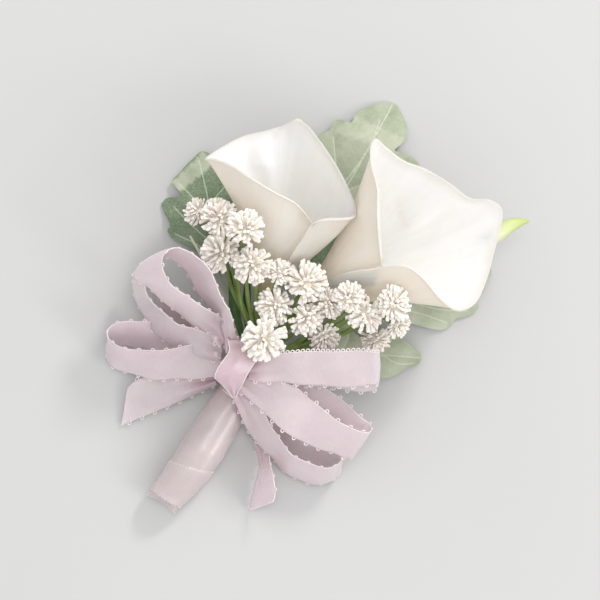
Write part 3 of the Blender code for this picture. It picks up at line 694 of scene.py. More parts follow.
for spray, heads in FILLER_HEADS.items():
    offset, height = SPRAY_SLOTS[spray]
    trunk = smooth_points(down_handle(offset, height, (-10, 0, 6)), TRUNK_ROWS)
    stalks = [tube("trunk", trunk, [TRUNK_RADIUS] * TRUNK_ROWS)]
    for k, (x, y, z, radius, heading, climb) in enumerate(heads):
        way = ring_frame(heading, climb)[2]
        centre = Vector((x, y, z))
        seed = FLORET_SEED + 10 * list(FILLER_HEADS).index(spray) + k
        node_name = f"filler_{spray}_head_{k + 1}"
        fitted(blossom(f"filler_{spray}_blossom_{k + 1}", centre, radius, way, seed), blossom_white, "filler_white",
               node_name, smooth=75)
        seat = centre - way * radius * 0.5
        neck = seat - way * 3.0
        root, fork = across(offset, 2.6 - 0.4 * k, height), across(offset * 1.1, 6.4, height + 0.55)
        route = smooth_points([root, fork, fork.lerp(neck, 0.5), neck, seat], STALK_ROWS)
        widths = np.interp(np.linspace(0, 1, STALK_ROWS), [0, 0.85, 0.95, 1], [0.72, 0.58, 0.7, 1.0])
        stalks.append(tube("stalk", route, widths, 2))
    fitted(joined(f"filler_{spray}_stalks", stalks), filler_green, "filler_green", f"filler_{spray}_stems")


# ---- The leaves --------------------------------------------------------------------------------
# Four lobed leaves of sage green flocked fabric lie under the flowers. Each is stamped with soft
# veins that run from its midrib into the lobes, and has a wire stalk down into the handle.
LEAF_THICK = 0.5
LEAF_SPACING = 1.1
VEIN_WIDTH = 0.3
LEAF_SLOTS = {"left": (-2.9, 2.6), "top": (-1.0, 2.4), "right": (1.0, 2.4), "low": (2.9, 2.6)}
# Away from its veins a blade rises by so much within so far, and its edges droop in full so far out
QUILT_HEIGHT, QUILT_WIDTH, DROOP_WIDTH = 0.5, 2.4, 16
LEAF_STALK_RADIUS = 0.6
# Each leaf: the line of its midrib, its outline, its side veins, its paler part (under 'fold', painted light),
# clockwise, with how pale it and the rest are (painted light and painted shade), how far its edges droop, and how far
# from the foot its painted shade fades out
LEAVES = {
    "left": {
        "midrib": [(-6.4, 30.0, 5.4), (-8.4, 42.0, 5.8), (-10.0, 54.0, 4.6), (-12.6, 64.4, 2.4)],
        "outline": [
            (-5, 29.4), (-1.5, 36), (1, 42), (1.4, 47), (0, 52), (-3.2, 57), (-6.2, 61.4), (-7.5, 64.2),
            (-11.4, 66.7), (-14.6, 64), (-18, 60.4), (-20.7, 57.1), (-18.4, 54.4), (-17.6, 52.8), (-22.4, 52.2),
            (-24, 50.5), (-23, 47.8), (-21.5, 45.2), (-21.2, 43.4), (-22, 42.4), (-21, 40.6), (-17.1, 38.2),
            (-13.5, 36), (-9.6, 32.4), (-7.4, 29.4),
        ],
        "veins": [[(-7.6, 38.0), (-13.0, 42.5), (-20.0, 49.5)], [(-9.0, 46.0), (-13.0, 51.0), (-18.6, 57.0)],
                  [(-8.0, 41.0), (-3.4, 45.0), (0.4, 46.5)], [(-9.4, 49.0), (-6.0, 54.0), (-3.6, 56.5)],
                  [(-7.2, 34.0), (-13.0, 38.0), (-19.8, 41.4)]],
        "fold": ([(-11.4, 66.9), (-7.4, 64.4), (-9.6, 61.0), (-18.3, 54.0), (-21.0, 57.2)], 0.95, 0.0),
        "droop": 6.4,
    },
    "top": {
        "midrib": [(17.4, 28.4, 5.2), (26.0, 44.0, 5.8), (36.0, 61.0, 5.4), (47.0, 81.0, 0.3)],
        "outline": [
            (16.2, 28.8), (15.4, 36), (14.8, 43), (14, 50), (16.4, 56.6), (20, 60.4), (21.6, 66), (23.6, 70.6),
            (25.6, 72.2), (27.8, 73.2), (28.6, 75.4), (30.6, 76.4), (32.6, 75.8), (34.2, 75.4), (35.8, 78.2),
            (38.6, 80), (42, 81.2), (45.6, 81.9), (48, 81.2), (49.8, 78.4), (51.2, 74.8), (51.3, 71.6), (49.8, 69),
            (47.6, 66.9), (50.4, 66.1), (53.2, 64.8), (55.3, 62.2), (54.2, 59.4), (50.8, 57.2), (48, 56.2),
            (49.8, 52), (48.2, 48), (43, 44.6), (36.6, 40.6), (31, 36.2), (24.6, 31.4), (19, 27.6),
        ],
        "veins": [[(32.1, 56.7), (36.9, 63.3), (40.8, 69.9), (43, 76)],
                  [(32.7, 54.3), (39.6, 57.3), (46, 61), (52, 62)],
                  [(31, 55), (29.5, 64), (28.8, 71)], [(26, 44), (21, 52), (18.6, 56.5)],
                  [(24, 40), (34, 45), (44, 49)]],
        "fold": ([(29.0, 72.5), (34.5, 78.0), (51.8, 70.0), (48.5, 66.2)], 1.0, 0.7),
        "shaded": 30,
        "droop": 3.4,
    },
    "right": {
        "midrib": [(31.0, 12.0, 5.4), (46.0, 18.4, 5.6), (62.0, 24.4, 3.6), (77.0, 30.2, 0.8)],
        "outline": [
            (31.4, 10.6), (36, 12.8), (42, 14.4), (49, 14.5), (54, 13.5), (58.6, 12.3), (62.4, 11.9), (65, 13.1),
            (66.4, 15.2), (69.2, 15.8), (72.2, 17), (73.6, 18.9), (71.6, 21), (73.6, 22.2), (75, 23.8), (76.2, 26.6),
            (77.4, 29.4), (77, 31.4), (75, 32.6), (71, 34.6), (67, 35.4), (62.4, 33), (57, 34.8), (51.6, 33.2),
            (46.6, 29), (41, 24.4), (35.6, 18.6), (30.6, 13.2),
        ],
        "veins": [[(46.0, 18.4), (55.0, 17.0), (63.5, 14.2)], [(52.0, 20.6), (60.0, 18.4), (70.5, 17.6)],
                  [(50.0, 20.0), (55.0, 26.0), (57.0, 32.0)], [(60.0, 23.6), (65.0, 29.0), (69.0, 33.0)]],
        "fold": ([(31.0, 12.0), (46.0, 18.4), (62.0, 24.4), (77.0, 30.2), (80, 10), (50, 5)], 0.85, 0.65),
        "droop": 7.0,
    },
    "low": {
        "midrib": [(18.0, 3.4, 2.9), (30.0, 4.6, 3.5), (43.0, 4.2, 3.9), (55.8, 3.2, 3.0)],
        "outline": [
            (17.6, 2.2), (21.6, 0.2), (26, -1.8), (31, -3), (36.4, -3.6), (41.2, -3), (46.2, -2.7), (49.2, -1.4),
            (51.8, 0.4), (54.4, 0.9), (55.6, 2.2), (55.8, 3.9), (53.8, 5.9), (50.6, 8.8), (48.6, 10.7), (44.4, 10.4),
            (40.6, 9.4), (37.8, 9), (35.6, 10.8), (32.4, 12.3), (28.6, 12.3), (25.4, 10.8), (21.8, 7.4), (18.2, 4.6),
        ],
        "veins": [[(30.0, 4.6), (33.0, 8.0), (33.5, 11.0)], [(38.0, 4.4), (43.0, 7.0), (48.0, 9.6)],
                  [(34.0, 4.4), (38.0, 0.0), (40.0, -2.4)], [(44.0, 4.0), (49.0, 1.4), (53.6, 1.6)]],
        "fold": ([(17.0, 0.0), (34.0, 8.0), (58.0, 12.0), (58.0, -6.0), (30.0, -6.0)], 1.0, 0.8),
        "droop": 2.2,
    },
}

leaf_sage, tree, shader = new_look("leaf_sage", Roughness=0.78, Specular_IOR_Level=0.25, Sheen_Weight=0.35,
                                   Sheen_Roughness=0.4)
shader.inputs["Sheen Tint"].default_value = (0.86, 0.90, 0.84, 1)
spot = coordinates(tree)
vein = stored(tree, "vein")
# pale: painted light and painted shade; where it is 0 the sage is darkened, where it is 1 lightened, the fabric being
# one sage all over.
pale = stored(tree, "pale")
patches = noise(tree, spot, 130, 4, 0.6)
flock = noise(tree, spot, 2300, 3, 0.7)
sage = ramp(tree, patches, [(0.30, (0.25, 0.305, 0.21)), (0.52, (0.335, 0.38, 0.285)), (0.74, (0.40, 0.445, 0.35))])
sage = mixed(tree, pale, tinted(tree, 1.0, sage, (0.47, 0.57, 0.46)), tinted(tree, 1.0, sage, (1.42, 1.32, 1.34)))
sage = mixed(tree, faded(tree, flock, 0.45, 0.95), sage, (0.50, 0.55, 0.43))
sage = mixed(tree, vein, sage, (0.67, 0.71, 0.59))
painted(tree, shader, sage)
bumped(tree, shader, [(patches, 0.25, 0.8), (flock, 0.45, 0.16)])


def line_length(line):
    """The length of a drawn line."""
    return sum(math.dist(a, b) for a, b in zip(line, line[1:]))


def leaf_blade(name, shape):
    """The lobed blade: a fine net inside its outline, pressed into veins and quilted between them."""
    corners = [(*p, 0) for p in shape["outline"]]
    outline = [Vector((p.x, p.y)) for p in smooth_points([*corners, corners[0]], len(corners) * 5)[:-1]]
    xs, ys = [p.x for p in outline], [p.y for p in outline]
    edge = np.array([tuple(p) for p in outline])
    midrib = smooth_points(shape["midrib"], 40)
    lines = [[(p.x, p.y) for p in midrib[::3]]]
    lines += [[(p.x, p.y) for p in smooth_points([(*q, 0) for q in vein], 9)] for vein in shape["veins"]]
    inner = []
    for row, gy in enumerate(np.arange(min(ys), max(ys), LEAF_SPACING * 0.87)):
        for gx in np.arange(min(xs) + (row % 2) * LEAF_SPACING / 2, max(xs), LEAF_SPACING):
            clear = min(abs(beside((gx, gy), line)[0]) for line in lines) > VEIN_WIDTH * 1.5
            if clear and np.hypot(edge[:, 0] - gx, edge[:, 1] - gy).min() > LEAF_SPACING * 0.55:
                inner.append(Vector((gx, gy)))
    for line in lines:
        run = smooth_points([(*p, 0) for p in line], int(line_length(line) / 0.6) + 2)
        for k, p in enumerate(run[1:-1]):
            ahead = (run[k + 2] - run[k]).normalized()
            for off in (-1, -0.45, 0.45, 1):
                spot_on = Vector((p.x + ahead.y * off * VEIN_WIDTH, p.y - ahead.x * off * VEIN_WIDTH))
                if np.hypot(edge[:, 0] - spot_on.x, edge[:, 1] - spot_on.y).min() > VEIN_WIDTH:
                    inner.append(spot_on)
    flat, _, triangles, *_ = delaunay_2d_cdt(outline + inner, [], [list(range(len(outline)))], 1, 1e-5)
    used = sorted({i for t in triangles for i in t})
    place_of = {i: k for k, i in enumerate(used)}
    flat = [flat[i] for i in used]
    triangles = [tuple(place_of[i] for i in t) for t in triangles]
    points, veins, pales = [], [], []
    fold, lit_paleness, shaded_paleness = shape["fold"]
    shaded = shape.get("shaded", 0)
    for p in flat:
        nearest = min(midrib, key=lambda m: (m.x - p.x) ** 2 + (m.y - p.y) ** 2)
        away = math.hypot(nearest.x - p.x, nearest.y - p.y)
        to_vein = min(abs(beside((p.x, p.y), line)[0]) for line in lines)
        height = nearest.z - shape["droop"] * (away / DROOP_WIDTH) ** 2
        height += (QUILT_HEIGHT * eased(to_vein / QUILT_WIDTH) - QUILT_HEIGHT / 2
                   + 0.35 * math.sin(p.x * 0.55) * math.sin(p.y * 0.47))
        points.append(drawn((p.x, p.y, max(height, LEAF_THICK / 2))))
        veins.append(0.5 if to_vein < VEIN_WIDTH * 0.7 else 0.0)
        # The paler part is painted light and the rest painted shade from the flowers above, darkest near the foot of
        # a shaded leaf.
        within = min(beside((p.x, p.y), [a, b])[0] for a, b in zip(fold, fold[1:] + fold[:1]))
        painted_paleness = shaded_paleness + (lit_paleness - shaded_paleness) * eased(within / 0.5 + 0.5)
        from_foot = math.hypot(midrib[0].x - p.x, midrib[0].y - p.y)
        pales.append(painted_paleness * eased((from_foot / shaded - 0.5) / 0.5) if shaded else painted_paleness)
    piece = from_points(name, points, triangles)
    marked(piece, "vein", veins)
    marked(piece, "pale", pales)
    return thickened(piece, LEAF_THICK)


for leaf, shape in LEAVES.items():
    line = smooth_points(shape["midrib"], 9)
    low = Vector((0, 0, 0.35))
    offset, height = LEAF_SLOTS[leaf]
    route = smooth_points(down_handle(offset, height) + [line[0] - low, line[2] - low], STEM_ROWS)
    stalk = tube("stalk", route, [LEAF_STALK_RADIUS] * 30 + list(np.linspace(LEAF_STALK_RADIUS, 0.3, 10)), 2)
    blade = leaf_blade(f"leaf_{leaf}_blade", shape)
    marked(stalk, "vein", 0.3)
    marked(stalk, "pale", 0.5)
    fitted(joined(f"leaf_{leaf}_blade", [blade, stalk]), leaf_sage, "leaf_sage", f"leaf_{leaf}", smooth=60)


# ---- The slim blades ---------------------------------------------------------------------------
# Narrow grass-like blades stand between the leaves and the stalks: one pale sage, the others a
# deep glossy green. Each is folded a little along its middle.
BLADES = {
    "blade_pale": ([(0.4, 7.2, 9.6), (-4.4, 20.0, 12.4), (-9.6, 31.6, 15.4), (-14.7, 40.4, 13.4)], 1.8),
    "blade_dark_left": ([(2.0, 6.4, 7.7), (-1.2, 17.0, 8.6), (-2.2, 26.0, 9.6), (-4.4, 34.0, 11.4)], 3.0),
    "blade_dark_middle": ([(3.0, 9.4, 6.4), (2.4, 18.0, 7.6), (2.6, 26.0, 9.6), (3.4, 34.0, 12.6)], 2.4),
}
BLADE_ROWS, BLADE_THICK = 48, 0.4
blade_green = green_stem("blade_green", (0.10, 0.20, 0.06), (0.05, 0.12, 0.035), (0.70, 0.82, 0.62))
for name, (places, width) in BLADES.items():
    line = smooth_points(places, BLADE_ROWS)
    rows = []
    for i, centre in enumerate(line):
        ahead = (line[min(i + 1, BLADE_ROWS - 1)] - line[max(i - 1, 0)]).normalized()
        side_way = Vector((ahead.y, -ahead.x, 0)).normalized()
        half = width / 2 * (0.2 + 0.8 * math.sin(math.pi * min(i / (BLADE_ROWS - 1) + 0.1, 1)))
        rows.append([centre + side_way * half * k + Vector((0, 0, 0.4 * abs(k) - 0.2))
                     for k in (-1, -0.5, 0, 0.5, 1)])
    strip = thickened(laid_grid(name + "_leaf", rows), BLADE_THICK)
    if "pale" in name:
        marked(strip, "vein", 0.5)
        marked(strip, "pale", 0.8)
        fitted(strip, leaf_sage, "leaf_sage", name)
    else:
        fitted(strip, blade_green, "filler_green", name)


# ---- The handle --------------------------------------------------------------------------------
# The stems are bound from the flowers down with satin picot ribbon, each turn lapped over the one
# before. At the end the ribbon folds over the cut stems and is pinched flat.
HANDLE_FLAT = 0.8
HANDLE_TOP, HANDLE_FOOT = 4.0, -45.3
HANDLE_ROWS, HANDLE_AROUND = 170, 72
# Where along the handle the lapped edge runs, and how far its slant takes it to either side
HANDLE_SEAM, SEAM_SLANT = -33.2, 2.15
WRAP_THICK, FOLD_THICK = 0.35, 0.3
# The sides of the thread along a ribbon's edge, and how far off the surface it stays
CORD_SIDES, FLOOR_CLEAR = 6, 0.05
HANDLE_PROFILE = [(4.0, 5.9, 0.0), (-4.0, 5.9, 0.0), (-11.0, 5.9, 0.0), (-18.0, 6.3, 0.2), (-26.0, 6.6, 0.4),
                  (-31.0, 6.4, 0.4), (-35.0, 6.1, 0.3), (-39.0, 5.9, 0.0), (-45.3, 5.3, -0.9)]


def satin(name, light, dark, shine, gloss):
    """Satin ribbon: fine ribs across it, a soft sheen, slight tone from thread to thread, and painted shade where it
    is gathered or shaded.
    """
    look, tree, shader = new_look(name, Roughness=shine, Specular_IOR_Level=0.8, Sheen_Weight=0.25,
                                  Sheen_Roughness=0.35, Subsurface_Weight=0.7, Subsurface_Scale=0.0025,
                                  Coat_Weight=0.7, Coat_Roughness=gloss)
    shader.inputs["Subsurface Radius"].default_value = (1.0, 0.85, 0.92)
    weave = stored(tree, "weave", "Vector")
    spot = coordinates(tree)
    ribs = node(tree, "ShaderNodeTexWave", {"Vector": weave, "Scale": 0.66, "Distortion": 0.25, "Detail": 1.0},
                wave_type="BANDS", bands_direction="Y").outputs["Fac"]
    threads = noise(tree, weave, 1.0, 2, spread=(0.6, 4.2, 1))
    folds = noise(tree, spot, 160, 2)
    base = ramp(tree, threads, [(0.3, dark), (0.7, light)])
    # Darker between the ribs: painted shade in the grooves that the ribs' bumps leave.
    painted_groove_shade = ramp(tree, ribs, [(0.0, (0.5, 0.5, 0.5)), (0.6, (0, 0, 0))])
    base = tinted(tree, painted_groove_shade, base, (0.90, 0.88, 0.90))
    base = tinted(tree, faded(tree, folds, 0.35, 0.75), base, (0.95, 0.93, 0.95))
    # Painted shade, darkest where the ribbon is gathered, under the bow or pulled into the band.
    painted(tree, shader, tinted(tree, stored(tree, "painted_gather_shade"), base, (0.82, 0.73, 0.76)))
    bumped(tree, shader, [(ribs, 0.3, 0.09), (folds, 0.12, 0.5)])
    return look


wrap_pearl = satin("wrap_pearl", (0.695, 0.565, 0.56), (0.635, 0.50, 0.50), 0.34, 0.32)
ribbon_lavender = satin("ribbon_lavender", (0.79, 0.637, 0.68), (0.73, 0.573, 0.616), 0.27, 0.26)
picot_pink, tree, shader = new_look("picot_pink", Roughness=0.4, Specular_IOR_Level=0.5, Sheen_Weight=0.3)
twist = noise(tree, coordinates(tree), 2600, 2)
painted(tree, shader, ramp(tree, twist, [(0.3, (0.80, 0.70, 0.73)), (0.7, (0.90, 0.82, 0.845))]))
bumped(tree, shader, [(twist, 0.3, 0.08)])

# One picot, a small closed loop of thread, to be copied along the ribbon's edges
bpy.ops.object.select_all(action="DESELECT")
bpy.ops.mesh.primitive_torus_add(major_segments=9, minor_segments=4, major_radius=0.5, minor_radius=0.17)
loop_of_thread = bpy.context.object
picot_points = np.array([v.co for v in loop_of_thread.data.vertices])
picot_faces = [tuple(p.vertices) for p in loop_of_thread.data.polygons]
bpy.data.objects.remove(loop_of_thread, do_unlink=True)


def distances(places):
    """How far along its line each place lies."""
    return np.concatenate([[0], np.cumsum([(b - a).length for a, b in zip(places, places[1:])])])


def edging(name, edges, spacings, cord, size=1.0):
    """The corded edges of a ribbon and their picots. Each edge is a list of (place, outward way)."""
    points, faces = [], []
    for edge, spacing in zip(edges, spacings):
        places = [Vector(p) for p, _ in edge]
        reached = distances(places)
        base = len(points)
        for k, (place, outward) in enumerate(edge):
            ahead = (places[min(k + 1, len(places) - 1)] - places[max(k - 1, 0)]).normalized()
            over = ahead.cross(outward).normalized()
            for s in range(CORD_SIDES):
                turn = math.tau * s / CORD_SIDES
                points.append(place + (Vector(outward) * math.cos(turn) + over * math.sin(turn)) * cord)
        for k in range(len(places) - 1):
            for s in range(CORD_SIDES):
                a, b = base + k * CORD_SIDES + s, base + k * CORD_SIDES + (s + 1) % CORD_SIDES
                faces.append((a, b, b + CORD_SIDES, a + CORD_SIDES))
        faces.append(tuple(base + s for s in reversed(range(CORD_SIDES))))
        faces.append(tuple(base + CORD_SIDES * (len(places) - 1) + s for s in range(CORD_SIDES)))
        if not spacing:
            continue
        for s in np.arange(spacing * 0.5, reached[-1] - spacing * 0.3, spacing):
            k = min(int(np.searchsorted(reached, s, side="right")) - 1, len(places) - 2)
            t = (s - reached[k]) / (reached[k + 1] - reached[k])
            place = places[k].lerp(places[k + 1], t)
            outward = Vector(edge[k][1]).lerp(Vector(edge[k + 1][1]), t).normalized()
            ahead = (places[k + 1] - places[k]).normalized()
            over = ahead.cross(outward).normalized()
            base = len(points)
            middle = place + outward * (0.42 * size)
            points += [middle + (ahead * p[0] + outward * p[1] + over * p[2]) * size for p in picot_points]
            faces += [tuple(i + base for i in f) for f in picot_faces]
    piece = from_points(name, [drawn((p[0], p[1], max(p[2], FLOOR_CLEAR))) for p in points], faces)
    only(piece)
    bpy.ops.object.mode_set(mode="EDIT")
    bpy.ops.mesh.select_all(action="SELECT")
    bpy.ops.mesh.normals_make_consistent(inside=False)
    bpy.ops.object.mode_set(mode="OBJECT")
    return piece


def run_along(rows):
    """How far along the ribbon's middle each of its rows lies."""
    return distances([row[len(row) // 2] for row in rows])


def woven(piece, rows, shade_depth=None):
    """Stores where each vertex lies across and along its ribbon, in millimetres, and its painted shade, deeper where
    the ribbon is gathered narrow unless given.
    """
    reached = run_along(rows)
    widths = [(row[-1] - row[0]).length for row in rows]
    spread = max(widths)
    kept = piece.data.attributes.new("weave", "FLOAT_VECTOR", "POINT")
    values = np.zeros((len(piece.data.vertices), 3), np.float32)
    columns = len(rows[0])
    for index in range(len(piece.data.vertices)):
        j, i = divmod(index, columns)
        values[index] = ((i / (columns - 1) - 0.5) * spread, reached[j], 0)
    kept.data.foreach_set("vector", values.ravel())
    shade_depth = shade_depth or [eased((spread - width) / 7) for width in widths]
    marked(piece, "painted_gather_shade", [depth for depth in shade_depth for _ in range(columns)])


def handle_point(along, turn):
    """The wrap's surface: round, flat where it lies, and lapped in a spiral."""
    profile = sorted(HANDLE_PROFILE)
    half = float(np.interp(along, [p[0] for p in profile], [p[1] for p in profile]))
    middle = float(np.interp(along, [p[0] for p in profile], [p[2] for p in profile]))
    past_seam = HANDLE_SEAM + SEAM_SLANT * math.cos(turn) - along
    radius = half - 0.05 + 0.30 * eased(past_seam / 0.25 + 1) * (1 - 0.8 * eased(past_seam / 9))
    radius += 0.06 * math.sin(along * 0.9 + turn * 3) * math.sin(turn * 2 + 1)
    height = half - HANDLE_FLAT + math.sin(turn) * radius
    return across(middle + math.cos(turn) * radius, along, max(height, 0.2))


def way_along(step):
    """The direction up the handle, or down it for a step below 0."""
    return (across(0, step, 0) - across(0, 0, 0)).normalized()


places_down = np.linspace(HANDLE_TOP, HANDLE_FOOT, HANDLE_ROWS)
rows = [[handle_point(along, math.tau * s / HANDLE_AROUND) for s in range(HANDLE_AROUND + 1)]
        for along in places_down]
wrap = laid_grid("handle_ribbon_wrap", rows)
# Painted shadow of the bow: the wrap darkens up the handle towards the knot.
woven(wrap, rows, [0.8 * eased((along + 17) / 10) for along in places_down])
thickened(wrap, WRAP_THICK)
fitted(wrap, wrap_pearl, "wrap_pearl", "handle_wrap", smooth=30)

seam = []
for turn in np.linspace(-0.25 * math.pi, 1.25 * math.pi, 61):
    place = handle_point(HANDLE_SEAM + SEAM_SLANT * math.cos(turn) - 0.1, turn)
    seam.append((place + Vector((0, 0, 0.05)), way_along(1)))
end_edge = [(handle_point(-45.2, turn), way_along(-1)) for turn in np.linspace(-0.4, math.pi + 0.4, 49)]
trim = edging("handle_picots", [seam, end_edge], (1.1, 1.1), 0.11, 0.5)
fitted(trim, picot_pink, "wrap_pearl")

END_FOLD = [(-40.6, 3.9, 3.6, -0.2), (-45.2, 3.8, 3.4, -0.9), (-46.0, 4.8, 2.2, -1.0), (-47.5, 4.9, 0.7, -1.2)]
FOLD_ROWS, FOLD_AROUND, FOLD_MIDDLE = 28, 48, 4.6
rows = []
for along, half_width, half_height, middle in smooth_points(END_FOLD, FOLD_ROWS):
    row = []
    for s in range(FOLD_AROUND + 1):
        turn = math.tau * s / FOLD_AROUND
        pleat = 1 + 0.05 * math.sin(turn * 6 + along)
        closing = eased((-along - 45.6) / 1.6)
        notch = 0.9 * math.cos(turn) ** 2 * closing
        row.append(across(middle + math.cos(turn) * half_width * pleat, along - notch + 0.5 * closing,
                          FOLD_MIDDLE + math.sin(turn) * half_height * pleat))
    rows.append(row)
fold = laid_grid("handle_end_fold_ribbon", rows)
woven(fold, rows)
thickened(fold, FOLD_THICK)
fitted(fold, wrap_pearl, "wrap_pearl", "handle_end_fold")


# ---- The bow -----------------------------------------------------------------------------------
# One length of satin picot ribbon is folded back and forth into six loops, left long at both ends
# for the tails, gathered at the middle and bound by a short band drawn down over the handle.
RIBBON_WIDTH = 12.0
RIBBON_THICK, EDGE_CORD = 0.34, 0.14
# Picots stand so far apart, and closer on the upper edge of the upper right loop
PICOT_SPACING, CLOSE_SPACING = 4.2, 1.5
# Each loop is drawn as seen, a place at a time from the knot: its upper edge's x and y, its lower
# edge's x and y, the height of its middle and its gathered width; the upper edge stands higher.
LOOPS = {
    "bow_loop_left_upper": [
        (-0.3, 8.2, -3.6, 5, 20, 5), (-0.9, 11.4, -4.6, 9.8, 21.5, 8), (-1.8, 15, -6.2, 14.2, 24, 11),
        (-4.5, 21.3, -9.6, 19.8, 27.5, 12), (-7.2, 27, -12.6, 24.6, 29.5, 12), (-9.9, 31.8, -15.6, 29.4, 30.6, 12),
        (-12.6, 34.4, -18.6, 32.4, 30.8, 12), (-16.2, 36, -22.4, 34.4, 30.8, 12), (-20, 36.2, -26.6, 33.6, 30.7, 12),
        (-22.4, 34.6, -29.8, 31, 30.6, 12), (-23.1, 32.1, -31.2, 28.2, 30.5, 12),
        (-22.4, 29.4, -29.8, 26.4, 30.2, 12), (-20.6, 26.6, -26.8, 24.6, 29.6, 12), (-18, 24, -23.6, 22, 28.6, 12),
        (-14.4, 21.3, -19.8, 18.6, 27, 12), (-8.1, 17.7, -13.8, 13.6, 23.5, 11), (-4.8, 15, -9, 10.4, 21, 8),
        (-2.2, 10.6, -5.2, 6.6, 19.5, 5),
    ],
    "bow_loop_left_middle": [
        (-4.4, 7.6, -5.4, 2.6, 14.8, 5.4), (-7.5, 10, -9.4, 3.2, 15.5, 8.5), (-11.4, 11.7, -14.6, 4.8, 16, 11),
        (-17.4, 13.7, -20.6, 7.8, 16, 12), (-20.4, 15.4, -24.6, 11.4, 16, 12), (-23.4, 18, -27.6, 14.8, 15.8, 12),
        (-25.9, 21, -29.8, 19, 15.6, 12), (-27.9, 24, -31, 23.4, 15.4, 12), (-28.3, 26, -31.4, 26.6, 15.2, 12),
        (-27.6, 27.4, -30.4, 28.8, 15.2, 12), (-25.4, 28, -29, 28.4, 15.2, 12), (-21.6, 26.6, -27, 24.8, 15.2, 12),
        (-16.6, 23, -22.8, 18.8, 15.4, 12), (-11.4, 18.4, -17.2, 13.2, 15.4, 11.5), (-7.4, 13.8, -11.4, 8.8, 15.2, 9),
        (-4.8, 9, -6.6, 5.4, 14.8, 5.4),
    ],
    "bow_loop_left_lower": [
        (-4.6, 3.2, -4.6, -2, 12.4, 5.6), (-7.4, 6.4, -6.9, -2, 12.4, 9), (-11.4, 7.5, -10.6, -2.3, 12.2, 11.2),
        (-18.9, 6.5, -18, -2.6, 11.4, 12), (-28.8, 5.8, -27.6, -2.3, 9.8, 12), (-34.6, 6.9, -33.6, -0.5, 8.9, 12),
        (-37.6, 8.2, -37.6, 1.2, 8.6, 12), (-39.2, 9.6, -39.3, 4, 8.5, 12), (-39.5, 11.2, -39.6, 7.4, 8.5, 12),
        (-38.2, 13, -38.4, 8.2, 8.5, 12), (-35.6, 14, -35, 7.6, 8.4, 12), (-31.6, 14.6, -30.6, 6.8, 8.2, 12),
        (-27.9, 14.6, -26.6, 6.2, 8, 12), (-20, 12.2, -18.6, 4.4, 8, 11.4), (-12, 8.6, -11, 1.8, 9, 9.6),
        (-5.4, 4.2, -5, -0.6, 10, 5.2),
    ],
    "bow_loop_right_upper": [
        (3.6, 3.4, 3.2, -2.6, 24.8, 6.2), (7.5, 4.4, 7, -3.4, 26.2, 8.6), (13.2, 5.1, 13, -3.6, 27.6, 10.6),
        (23.1, 5.4, 21.6, -4.4, 28.4, 11.6), (32, 5.5, 32.4, -4.9, 28.8, 11.8), (38.4, 5.5, 38.4, -4.5, 29, 11.8),
        (41.2, 5.3, 41.2, -4.4, 28, 12), (42.1, 5.1, 42, -4.2, 25.6, 12), (41.2, 4.6, 41, -6, 23.2, 12),
        (38, 4.6, 37.6, -6.4, 22.2, 12), (32, 4.8, 31.4, -5.6, 22, 12), (22, 4.9, 21.6, -4.6, 22.2, 11.6),
        (12, 4.2, 11.6, -3.8, 22.4, 9.6), (4.2, 2.6, 4.2, -3, 22.2, 6),
    ],
    "bow_loop_right_middle": [
        (3.2, 0.2, -0.2, -5.2, 20.6, 6.6), (8.8, -1.9, 3.4, -8.6, 20.6, 9.2), (14, -3.8, 7.6, -12.4, 20.6, 11.4),
        (18, -5.6, 11.4, -16, 20.6, 12.6), (20.3, -7.8, 14.1, -18.3, 20.6, 12.4),
        (26.3, -12.4, 19.8, -21.6, 20.6, 12), (31.2, -16.2, 25, -23.6, 20.4, 12),
        (35.8, -18.3, 28.8, -24.9, 19.6, 12), (38.9, -18.6, 31.8, -26.4, 18.2, 12),
        (39.9, -17.6, 33.4, -27, 16.6, 12), (39.2, -16, 32.4, -26, 15.2, 12), (36.6, -14, 29.4, -22.8, 14.6, 12),
        (32.9, -10.7, 25, -18.8, 14.4, 12), (28.6, -7, 19.8, -14.4, 14.6, 12), (21, -3.6, 13.6, -10.4, 15.8, 11),
        (12, -1.8, 7.4, -7.6, 17, 8.4), (5.6, -1.6, 2.6, -5.8, 17.6, 5.6),
    ],
    "bow_loop_right_lower": [
        (2, -4.6, -1.6, -7.6, 17.4, 5.2), (5, -7.6, 0.2, -11.6, 15.8, 8), (8.4, -13.3, 2.1, -16.8, 13.8, 10.6),
        (10.1, -17.3, 4.9, -20.4, 12.4, 12), (12.9, -21.5, 9.2, -25.6, 11, 12), (17.9, -26.4, 13.6, -29.9, 9.6, 12),
        (22.6, -28.6, 18.4, -32.9, 8.8, 12), (26.8, -29.2, 22.6, -34.4, 8.4, 12), (30, -28.2, 27.2, -33.4, 8.2, 12),
        (31.6, -26.4, 30.4, -31, 8, 12), (30.4, -24.8, 30, -28.8, 8, 12), (26.2, -22.8, 23.6, -28.4, 7.8, 12),
        (20.6, -20.4, 16.8, -25.4, 7.8, 12), (15, -16.4, 11.6, -20.6, 8.8, 11.6), (9.2, -11.6, 6.8, -15.2, 11, 9.4),
        (4.4, -7.6, 1.6, -10.6, 13.8, 5.4),
    ],
}
